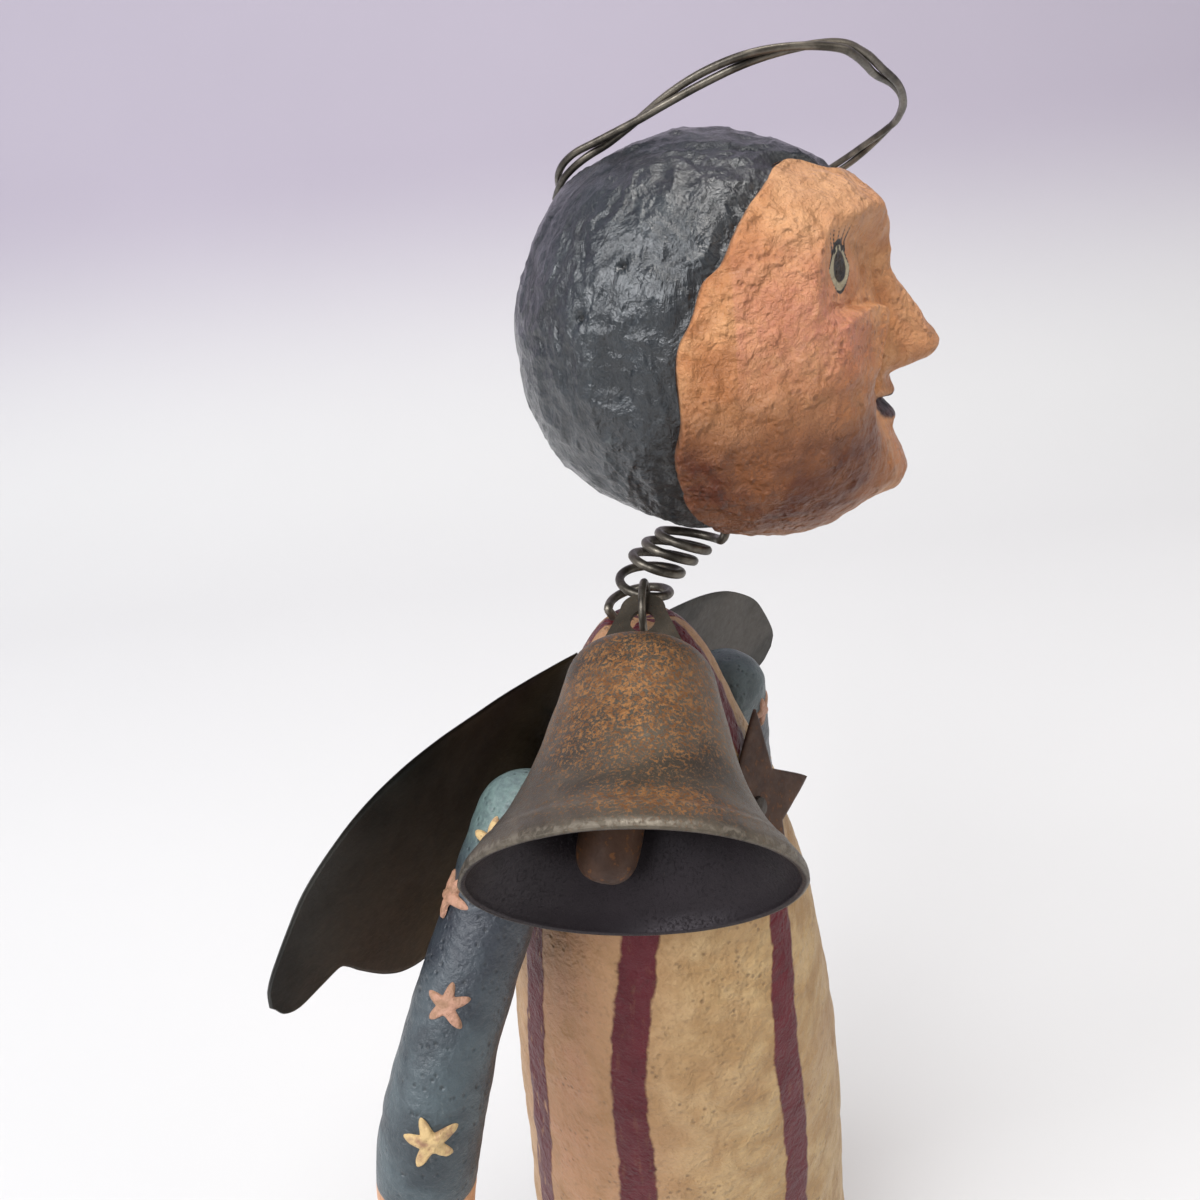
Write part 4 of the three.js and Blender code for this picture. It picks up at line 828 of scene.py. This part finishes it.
def spring_path():
    """Wire from inside the neck, round the coils and up into the head."""
    rise = smooth_table(SPRING_RISE, 120)
    coils = [coil_spot(t, rise) for t in np.linspace(0, SPRING_TURNS, 163)]
    first, last = coils[0], coils[-1]
    foot = np.array([*first[:2] * 0.42, DRESS_H - 9])
    bend = np.array([*first[:2] * 0.86, DRESS_H + 0.2])
    lead = smooth_table([foot, (foot + bend) / 2, bend, first, coils[6], coils[12]], 80)[:48]
    tail_top = np.array([last[0] + 0.8, last[1] - 0.9, SPRING_TOP])
    tail = smooth_table([coils[-13], coils[-7], last, last + [0.7, -0.8, 3.2], tail_top], 80)[41:]
    return np.concatenate([lead, coils, tail])


def make_spring():
    path = resample(spring_path()[::2], 420)
    cut = int(len(path) * SPRING_CUT)
    lengths = [("neck_spring_lower", path[: cut + 1], "torso", "neck", 219.0, 227.0),
               ("neck_spring_upper", path[cut:], "neck", "head", 227.0, 234.0)]
    for name, part, a, b, z0, z1 in lengths:
        pts, faces = tube(part, SPRING_WIRE_R)
        obj = make(name, pts, faces, WIRE, None, ["neck_spring"])
        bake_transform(obj)


# Head: outline rows are (degrees up from straight ahead, reach from the middle),
# hairline rows are (degrees round from the top of the face, opening of the face in degrees)

HEAD = np.array([12.8, -9.7, 265.3])
HEAD_R = 31
HEAD_HALF_WIDTH = 28.8
CORE_R = 24.4
FACE_UNDER_R = 28.2
HAIR_UNDER_R = 28.0
HEAD_TURN = math.radians(39.5)
AHEAD = np.array([math.sin(HEAD_TURN), -math.cos(HEAD_TURN), 0])
LEFT = np.array([math.cos(HEAD_TURN), math.sin(HEAD_TURN), 0])
HEAD_OUTLINE = [(-180, 31), (-146, 31.2), (-117, 30.1), (-100, 30.8), (-90, 31.7), (-80, 32.9), (-67, 34.8),
                (-52, 35.9), (-44, 35.4), (-36, 33.4), (-29, 31.4), (-22, 29.5), (-16, 28.4), (-8, 27.8),
                (0, 27.6), (8, 27.8), (16, 28.4), (25, 29.5), (33, 30.3), (41, 30.6), (49, 29.8), (60, 29),
                (74, 28.9), (90, 29.8), (114, 31), (130, 31.8), (150, 31.5), (180, 31)]
HAIRLINE = [(0, 50), (12, 52), (17, 56.5), (19.3, 63), (20.8, 69), (23, 72.2), (28.5, 75.6), (37, 78.6),
            (43, 82.8), (51, 87), (61, 92.5), (66, 98.6), (75, 102.2), (84, 106), (105, 106), (116, 108),
            (131, 107), (142, 102), (153, 97), (180, 92)]
head_outline = smooth_table(HEAD_OUTLINE, 300)
hairline = smooth_table(HAIRLINE, 200)

# Places on the left half of the face, ahead, left and up from the head's middle
SOCKET_AT = (12.9, 21.8, 11.4)
CHEEK_AT = (16.4, 23.3, 3.5)
EYE_AT = (14.9, 18.6, 11.0)
EYE_UP = EYE_AT[2]
EYE_HALF = 2.8
LID_UP = 3.3
LID_LOW = 3.2
LASHES = (-1.9, -1.0, 0.0, 1.1, 2.1)
MOUTH_UP = -12.4
FAR = 9.0


def base_reach(d):
    """Head without features."""
    ahead, left, up = d.T
    middle = lookup(np.degrees(np.arctan2(up, ahead)), head_outline)
    return 1 / np.hypot(np.hypot(ahead, up) / middle, left / HEAD_HALF_WIDTH)


def plane_reach(d, place, normal, side):
    """Reach to a flat plane through a place on one half of the face."""
    mirror = np.array([1, side, 1])
    n = unit(normal * mirror)
    return (place * mirror) @ n / np.maximum(d @ n, 0.2)


def face_reach(d):
    """Head surface with brow, eye sockets, nose, lips and chin; d holds unit vectors ahead, left, up."""
    ahead, left, up = d.T
    reach = base_reach(d)
    p = d * reach[:, None]
    z = p[:, 2]
    front = ease((ahead - 0.25) / 0.25)
    facing = ease((ahead - 0.1) / 0.3)
    for side in (-1, 1):
        out = side * p[:, 1]
        over = z - EYE_UP
        inner = ease((14 - out) / 9)
        hollow = ease((7.2 - 2.2 * inner - over) / (3.0 + 2.4 * inner)) * ease((out - 2.4) / 4.5) * front
        hollow = hollow * ease((7.4 + 5 * inner + over) / (3.2 + 8 * inner))
        socket = plane_reach(d, SOCKET_AT, (0.84, 0.54, 0.10), side)
        reach = reach - np.maximum(reach - socket, 0) * hollow
        ball = np.hypot((out - 17.6) / 4.4, over / 4.2)
        ridge = 18.0 - 0.012 * (out - 12) ** 2
        brow = bump(z - ridge, 2.5) * ease((out - 3.5) / 7) * ease((27 - out) / 6) * facing
        bone = bump(out - (20 - 0.45 * (z - 4)), 4.2) * bump(z - 2.5, 5.2) * facing
        fold = bump(out - 10.5, 4.4) * bump(z + 10.5, 5.6) * front
        flank = bump(out - 9, 3.4) * bump(z - 0.5, 6.5) * front
        reach = reach + 0.8 * ease((1.15 - ball) / 0.9) * front
        reach = reach + 0.95 * brow + 0.9 * bone - 3.9 * fold - 1.3 * flank
        cheek = plane_reach(d, CHEEK_AT, (0.84, 0.54, 0.11), side)
        flat = ease((z + 13) / 6) * ease((10 - z) / 4) * ease((out - 3) / 4) * front
        reach = reach - np.maximum(reach - cheek, 0) * flat
    off = np.abs(left) * reach
    down = np.clip((8.5 - z) / 11.3, 0, 1)
    nose = 7.6 * down ** 1.25 * ease((z + 8.6) / 5.4) * np.exp(-(off / (2.2 + 2.6 * down)) ** 2.4) * front
    nostril = 1.5 * bump(off - 4.1, 1.4) * bump(z + 4.6, 1.9) * front
    chin = 5.0 * bump(np.arctan2(left, np.hypot(ahead, up)), 0.25)
    chin = chin * bump(np.arctan2(up, ahead) + math.radians(38.7), 0.10)
    mouth = ease((9.0 - off) / 3.0) * front
    lips = 0.9 * bump(z + 10.4, 1.0) + 0.8 * bump(z + 14.2, 0.9) * ease((8.0 - off) / 3)
    slit = 1.5 * bump(z - MOUTH_UP, 0.6)
    dimple = 1.1 * bump(z + 17.4, 1.5) * ease((9 - off) / 5) * front
    return np.maximum(reach + nose + nostril + chin + (lips - slit) * mouth - dimple, CORE_R + 0.6)


def head_dirs(opening, turn):
    """Unit vectors ahead, left and up, opened from straight ahead and turned from the top."""
    d = [np.cos(opening), np.sin(opening) * np.sin(turn), np.sin(opening) * np.cos(turn)]
    return np.stack(d, -1).reshape(-1, 3)


def head_place(p):
    return HEAD + p[:, :1] * AHEAD + p[:, 1:2] * LEFT + p[:, 2:] * UP


def hair_edge(turn):
    wander = 0.35 * np.sin(turn * 7 + 1) + 0.25 * np.sin(turn * 13 + 2)
    return np.radians(lookup(np.degrees(np.abs(wrap(turn))), hairline) + wander)


def eye_marks(at):
    """Distance to the painted whites, irises and lashes, below zero inside them."""
    marks = np.full((3, len(at)), FAR)
    for side in (-1, 1):
        q = at - np.array([1, side, 1]) * EYE_AT
        x, y = q @ unit((0.54, -0.84 * side, 0)), q[:, 2]
        here = (side * at[:, 1] > 0) & (at[:, 0] > 5)
        lid = 1 - np.clip(np.abs(x) / EYE_HALF, 0, 1) ** 2
        white = np.maximum(np.maximum(y - LID_UP * lid, -LID_LOW * lid - y), np.abs(x) - EYE_HALF)
        ring = np.hypot(x - 0.1, (y - 0.2) * 0.74) - 1.55
        line = np.where(np.abs(x) < 2.9, np.abs(y - LID_UP * lid - 0.1) - 0.36, FAR)
        low = np.where(np.abs(x) < 2.7, np.abs(y + LID_LOW * lid) - 0.22, FAR)
        t = np.clip((y - 2.4) / 2.8, 0, 1)
        for stem in LASHES:
            stroke = np.abs(x - stem - 0.35 * (stem - 0.6) * t) - 0.26 * (1 - 0.5 * t)
            line = np.where((y > 2.0) & (y < 5.3), np.minimum(line, stroke), line)
        nearer = np.minimum(marks, [white, ring, np.minimum(line, low)])
        marks = np.where(here, nearer, marks)
    return dict(zip(("eye", "iris", "lash"), marks))


def face_marks(at, near):
    """Distances to the painted marks and strengths of the soft shades; near is the way to the hair."""
    ahead, out, z = at[:, 0], np.abs(at[:, 1]), at[:, 2]
    front = ahead > 8
    over = z - MOUTH_UP
    lips = (np.hypot(out / 8.0, over / np.where(over > 0, 1.9, 2.5)) - 1) * 2.2
    mouth = np.abs(over) - 0.8 * (1 - np.clip(out / 8.5, 0, 1))
    cheek = bump(out - 24, 4.5) * bump(z - 5, 5.5) * (ahead > 0)
    # where the painted highlight goes: the brow and forehead, then the nose
    brow = bump(z - 22, 6) * ease((ahead - 2) / 8)
    brow = brow + 0.7 * bump(out, 4.5) * ease((ahead - 25) / 4) * ease((z + 9) / 3)
    # painted shade: stronger towards the bottom and sides of the face, and low along the hair
    face_shade = ease((2 - z) / 18) * (0.08 + 0.92 * ease((out - 6) / 12))
    face_shade = face_shade + 0.6 * ease(1 - near / 7) * ease((-z - 2) / 14)
    return {**eye_marks(at), "lips": np.where(front, lips, FAR), "mouth": np.where(front, mouth, FAR),
            "cheek": cheek, "brow": np.clip(brow, 0, 1.6), "face_shade": np.clip(face_shade, 0, 1), "rim": near}


def make_face():
    sides, rows = 420, 260
    turn = circle(sides)
    edge = hair_edge(turn)
    share = np.linspace(0.004, 1, rows)[:, None]
    d = head_dirs(share * edge, turn)
    reach = face_reach(d)
    at = d * reach[:, None]
    near = ((1 - share) * edge).ravel() * 30
    calm = ease((np.hypot((np.abs(at[:, 1]) - 17) / 6, (at[:, 2] - EYE_UP) / 5) - 0.6) / 0.6)
    rough = 0.42 * fbm(at, 9, 3, 51) + 0.24 * fbm(at, 3.0, 3, 55) + 0.07 * ridged(at, 2.4, 2, 57)
    reach = reach + rough * (0.3 + 0.7 * calm)
    reach = reach + 0.2 * bump(near - 1.6, 1.2) - 1.5 * (1 - np.sqrt(np.clip(near / 0.8, 0, 1)))
    pts = np.concatenate([d * reach[:, None], d[-sides:] * FACE_UNDER_R])
    marks = {}
    for key, values in face_marks(at, near).items():
        under = FAR if key in ("eye", "iris", "lash", "lips", "mouth") else 0.0
        marks[key] = np.concatenate([values, np.full(sides, under)])
    faces = [f[::-1] for f in capped_faces(rows + 1, sides)]
    make("face_paper", head_place(pts), faces, FACE, "head", ["face_mask"], marks)


HAIR_UNDERLAP = math.radians(2.6)
HAIR_HOLES = [(-14.6, -23.2, 15.4), (-20.0, -20.6, 8.0)]


def make_hair():
    sides, rows = 420, 240
    turn = circle(sides)
    start = hair_edge(turn) - HAIR_UNDERLAP
    share = np.linspace(0, 1, rows)[:, None]
    d = head_dirs(start + share * (math.pi - 0.006 - start), turn)
    reach = base_reach(d) - 0.35
    at = d * reach[:, None]
    near = (share * (math.pi - start)).ravel() * 30
    warp = at + 2.2 * np.stack([fbm(at, 8, 2, seed) for seed in (71, 72, 73)], -1)
    crease = ridged(warp * np.array([1, 1, 0.55]), 9, 4, 81)
    rough = 0.36 * fbm(at, 12, 2, 91) + 0.42 * np.clip(crease, -1, 1) + 0.17 * ridged(warp, 3.2, 2, 95)
    reach = reach + rough - 0.7 * bump(near - 1.2, 1.6)
    # painted shade for the spots where the wires go in, over a shallow dent
    hole_shade = np.zeros(len(at))
    for spot in HAIR_HOLES:
        off = np.linalg.norm(d - unit(spot), axis=1) * HEAD_R
        reach = reach - 1.1 * bump(off, 0.45)
        hole_shade = np.maximum(hole_shade, bump(off, 0.55))
    pts = np.concatenate([d[:sides] * HAIR_UNDER_R, d * reach[:, None]])
    marks = {"shade": np.concatenate([np.ones(sides), bump(near - 0.5, 3.0)]),
             "hole_shade": np.concatenate([np.zeros(sides), hole_shade])}
    last = rows * sides
    faces = grid_faces(rows + 1, sides, True).tolist() + [list(range(last, last + sides))]
    faces = [f[::-1] for f in faces]
    make("hair_paper", head_place(pts), faces, HAIR, "head", ["hair_cap"], marks)


# Halo: one wire wound nearly twice, its two passes laid round each other;
# bend rows are (degrees round the ring, share of its radius)

HALO_BENDS = [(0, 1.025), (6, 1.01), (18, 0.967), (37, 0.922), (54, 0.975), (65, 1.03), (84, 1.048),
              (94, 1.038), (104, 1.001), (117, 0.948), (129, 0.918), (141, 0.947), (150, 1.014), (159, 1.036),
              (169, 1.02), (190, 1), (324, 1), (342, 1.008), (354, 1.037), (360, 1.025)]
HALO_AT = HEAD + np.array([15.8, 6.5, 25.1])
HALO_R = 28.2
HALO_TURNS = 1.9
HALO_START = math.radians(205)
HALO_WIRE_R = 0.55
HALO_DEEP = 4.2


def halo_end(spot, along, lead):
    """Bent end of the wire, from its tip in the hair out to the ring."""
    towards = unit(HALO_AT - spot)
    turn_in = spot + towards * lead + along * 2.8
    half = spot + towards * lead * 0.4 + along * 1.6
    inward = unit(HEAD - turn_in)
    deep = turn_in + inward * (np.linalg.norm(HEAD - turn_in) - HEAD_R + HALO_DEEP)
    return [deep, turn_in + inward * 0.45 * np.linalg.norm(deep - turn_in), turn_in, half]


def make_halo():
    right = unit((0.71, -0.69, 0.14))
    near = np.array([-0.67, -0.6, 0.43])
    near = unit(near - right * (near @ right))
    axis = np.cross(right, near)
    t = np.linspace(0, HALO_TURNS, 230)
    angle = HALO_START + 2 * math.pi * t
    ring = HALO_R * lookup(np.degrees(angle) % 360, smooth_table(HALO_BENDS, 300))
    twist = 7 * math.pi * t + math.radians(150)
    off = 0.6 + 0.3 * bump(t - 0.02, 0.1) + 0.3 * bump(t - HALO_TURNS, 0.1)
    loop = HALO_AT + spread(near, right, ring + off * np.sin(twist), angle)
    loop = loop + axis * (off * np.cos(twist))[:, None]
    first = halo_end(loop[0], unit(loop[0] - loop[1]), 2.0)
    last = halo_end(loop[-1], unit(loop[-1] - loop[-2]), 0.54)
    path = resample(np.array(first + list(loop[::2]) + last[::-1]), 520)
    pts, faces = tube(path, HALO_WIRE_R + 0.015 * np.sin(np.arange(len(path)) * 0.21))
    make("halo_twist", pts, faces, WIRE, "head", ["halo_wire"])


# Bell, its hook and its clapper; cup rows are (share of the mouth's radius, share of the depth)

BELL_SIDE = math.radians(57.5)
OUT = np.array([-math.sin(BELL_SIDE), -math.cos(BELL_SIDE), 0])
ACROSS = np.cross(UP, OUT)
LEAN = math.radians(58.6)
BELL_UP = -OUT * math.sin(LEAN) + UP * math.cos(LEAN)
BELL_FACE = np.cross(BELL_UP, ACROSS)
SEAT = joint_place["bell_sway"]
SEAT_TURN = math.radians(3)
HOOK_R = 4.6
HOOK_WIRE_R = 0.65
HOOK_CENTRE = SEAT - OUT * HOOK_R * math.cos(SEAT_TURN) - UP * HOOK_R * math.sin(SEAT_TURN)
BELL_EYE = SEAT - BELL_UP * 0.35
MOUTH_R = 24.2
BELL_DEPTH = 36.8
BELL_DROP = 6.8
CUP_WALL = 1.0
CUP_ROWS = [(0.02, 0), (0.18, 0.0), (0.312, 0.002), (0.385, 0.016), (0.442, 0.05), (0.48, 0.098),
            (0.504, 0.165), (0.528, 0.245), (0.574, 0.37), (0.622, 0.5), (0.688, 0.635), (0.78, 0.765),
            (0.88, 0.862), (0.955, 0.928), (0.99, 0.975), (1, 1)]
BOB_AXES = [unit((0.423, -0.89, -0.169)), unit((0.686, 0.437, -0.582)), unit((0.592, 0.131, 0.795))]
BOB_TOP = -15.8
BOB_ROWS = [(0.75, 0), (3.6, 0), (4.5, -0.35), (4.9, -1.3), (4.92, -5), (4.9, -9.9), (4.35, -12.6),
            (2.7, -14.4), (0.05, -15)]


def make_bell_cup():
    """Spun cup with a beaded rim, a rolled lip and a slightly crooked mouth."""
    sides = 240
    outer = smooth_table(CUP_ROWS, 220)
    share = outer[:, 1]
    beads = 0.16 * bump(share - 0.885, 0.01) - 0.1 * bump(share - 0.86, 0.01)
    beads = beads + 0.22 * bump(share - 0.965, 0.02)
    outside = np.stack([outer[:, 0] * MOUTH_R + beads, -BELL_DROP - share * BELL_DEPTH], -1)
    lip = np.array([MOUTH_R, -BELL_DROP - BELL_DEPTH]) - [(0.25, 0.22), (0.55, 0.26), (0.9, 0.05)]
    inner = smooth_table(CUP_ROWS, 120)[::-1]
    inside_r = np.maximum(inner[:, 0] * MOUTH_R - CUP_WALL, 0.3)
    inside_z = -BELL_DROP - inner[:, 1] * BELL_DEPTH - CUP_WALL * (1 - inner[:, 1])
    pts, faces = turned(np.concatenate([outside, lip, np.stack([inside_r, inside_z], -1)]), sides)
    turn = np.arctan2(pts[:, 1], pts[:, 0])
    part = np.clip((-BELL_DROP - pts[:, 2]) / BELL_DEPTH, 0, 1)
    pts[:, 2] += 1.25 * (pts[:, 0] / MOUTH_R) * ease((part - 0.6) / 0.4)
    out = np.stack([np.cos(turn), np.sin(turn), 0 * turn], -1)
    dents = 0.16 * fbm(pts, 15, 2, 101) + 0.05 * fbm(pts, 4, 2, 104)
    pts = pts + out * (dents * ease((np.hypot(pts[:, 0], pts[:, 1]) - 2) / 5))[:, None]
    # marks the cup's inner wall, which the bell material darkens as painted shade
    inside = np.where(np.arange(len(pts)) < (len(outer) + 1) * sides, 0.0, 1.0)
    front = turn + math.pi / 2
    rust = bump(part - 0.3, 0.3) * bump(wrap(front), 0.9)
    rust = rust + 0.95 * bump(part - 0.875, 0.05) * bump(wrap(front - 0.28), 0.33)
    rim = np.clip(bump(part - 0.985, 0.012) + 0.3 * bump(part - 0.885, 0.008), 0, 1) * (inside < 0.5)
    place = BELL_EYE + pts @ np.array([ACROSS, BELL_FACE, BELL_UP])
    make("bell_cup_metal", place, faces[:, ::-1], BELL, "bell", ["bell_cup"],
         {"rust": np.clip(rust, 0, 1), "rim": rim, "inside": inside})


def make_hook():
    turn = np.radians(np.linspace(-24, 205, 70))[:, None]
    path = HOOK_CENTRE + OUT * HOOK_R * np.cos(turn) + UP * HOOK_R * np.sin(turn)
    pts, faces = tube(path, HOOK_WIRE_R)
    make("bell_hook_wire", pts, faces, WIRE, "hook", ["bell_hook"])


def make_bob():
    pts, faces = turned(smooth_table(BOB_ROWS, 70) + [0, BOB_TOP], 64)
    place = joint_place["clapper_swing"] + pts @ np.array(BOB_AXES)
    make("clapper_bob_metal", place, faces[:, ::-1], RUSTY, "clapper", ["clapper_bob"])


make_dress()
for arm in ARMS:
    make_sleeve(arm)
    make_hand(arm)
    for n, row in enumerate(STARS[arm]):
        make_star(arm, "abcde"[n], *row, seed=11 + n + (50 if arm == "left" else 0))
    make_wing(arm)
make_tin_star()
make_spring()
make_face()
make_hair()
make_halo()
make_bell_cup()
make_hook()
make_bob()

# Solids that show as they are
PLAIN = {"base_disc": PULP, "head_core": PULP, "arm_wire": WIRE, "bell_ear": BELL, "clapper_staple": WIRE,
         "clapper_wire": WIRE, "star_nail": NAIL}
for arm in ARMS:
    for end in ("upper", "lower"):
        PLAIN[f"{arm}_wing_nail_{end}"] = NAIL
for name, look in PLAIN.items():
    node = frame["nodes"][name]
    node.data.materials.clear()
    node.data.materials.append(look)


# Stage, light and camera; lamps and camera are placed in metres

CAMERA_AT = (-0.120822, -0.099963, 0.296092)
CAMERA_RIGHT = Vector((0.63263614, -0.76863307, -0.09473496))
CAMERA_UP = Vector((0.38228928, 0.20355789, 0.90134294))
CAMERA_FORWARD = Vector((0.67351794, 0.60643828, -0.42261826))
SWEEP_FROM = 520
SWEEP_R = 620
STAGE_HALF = 3000
STAGE_COLS = 9
STAGE_DROP = 0.05

# Name, place, height that it aims at, size, power and colour
LAMPS = [
    ("top", (0.05, -0.25, 1.55), 0.2, 0.7, 13, (1.0, 0.98, 0.95)),
    ("window", (-1.76, -0.24, 1.70), 0.24, 1.28, 32, (0.95, 0.97, 1.0)),
    ("side_window", (-1.68, 0.72, 1.20), 0.26, 0.96, 19, (0.95, 0.97, 1.0)),
    ("room", (0.7, -1.35, 0.75), 0.15, 1.0, 4.5, (1.0, 0.96, 0.9)),
]


def make_stage():
    """Floor that sweeps up into a wall behind the doll."""
    away = unit((CAMERA_FORWARD.x, CAMERA_FORWARD.y, 0))
    across = np.cross(away, UP)
    wall = SWEEP_FROM + SWEEP_R
    run = [(-2500.0, 0.0), (300.0, 0.0)]
    for t in np.linspace(0, math.pi / 2, 30):
        run.append((SWEEP_FROM + SWEEP_R * math.sin(t), SWEEP_R - SWEEP_R * math.cos(t)))
    run += [(wall, 1500.0), (wall, 3600.0)]
    widths = np.linspace(-STAGE_HALF, STAGE_HALF, STAGE_COLS)
    pts = [away * d + across * w + UP * (h - STAGE_DROP) for d, h in run for w in widths]
    obj = make("stage_sweep", np.array(pts), grid_faces(len(run), STAGE_COLS), STAGE)


def make_lamp(name, place, aim, size, power, color):
    data = bpy.data.lights.new(name, "AREA")
    data.shape = "DISK"
    data.size = size
    data.energy = power
    data.color = color
    obj = bpy.data.objects.new(name, data)
    scene.collection.objects.link(obj)
    obj.location = place
    obj.rotation_euler = (Vector((0, 0, aim)) - Vector(place)).to_track_quat("-Z", "Y").to_euler()


make_stage()
for row in LAMPS:
    make_lamp(*row)

world = bpy.data.worlds.new("soft_room")
scene.world = world
world.use_nodes = True
background = world.node_tree.nodes["Background"]
background.inputs["Color"].default_value = (0.9, 0.9, 0.95, 1)
background.inputs["Strength"].default_value = 0.28

camera = bpy.data.objects.new("camera", bpy.data.cameras.new("camera"))
scene.collection.objects.link(camera)
camera.data.lens = 30.0
camera.data.sensor_width = 36.0
camera.data.clip_start = 0.01
camera.data.clip_end = 20.0
turn = Matrix((CAMERA_RIGHT, CAMERA_UP, -CAMERA_FORWARD)).transposed().to_4x4()
camera.matrix_world = Matrix.Translation(CAMERA_AT) @ turn
scene.camera = camera
scene.view_settings.view_transform = "Standard"
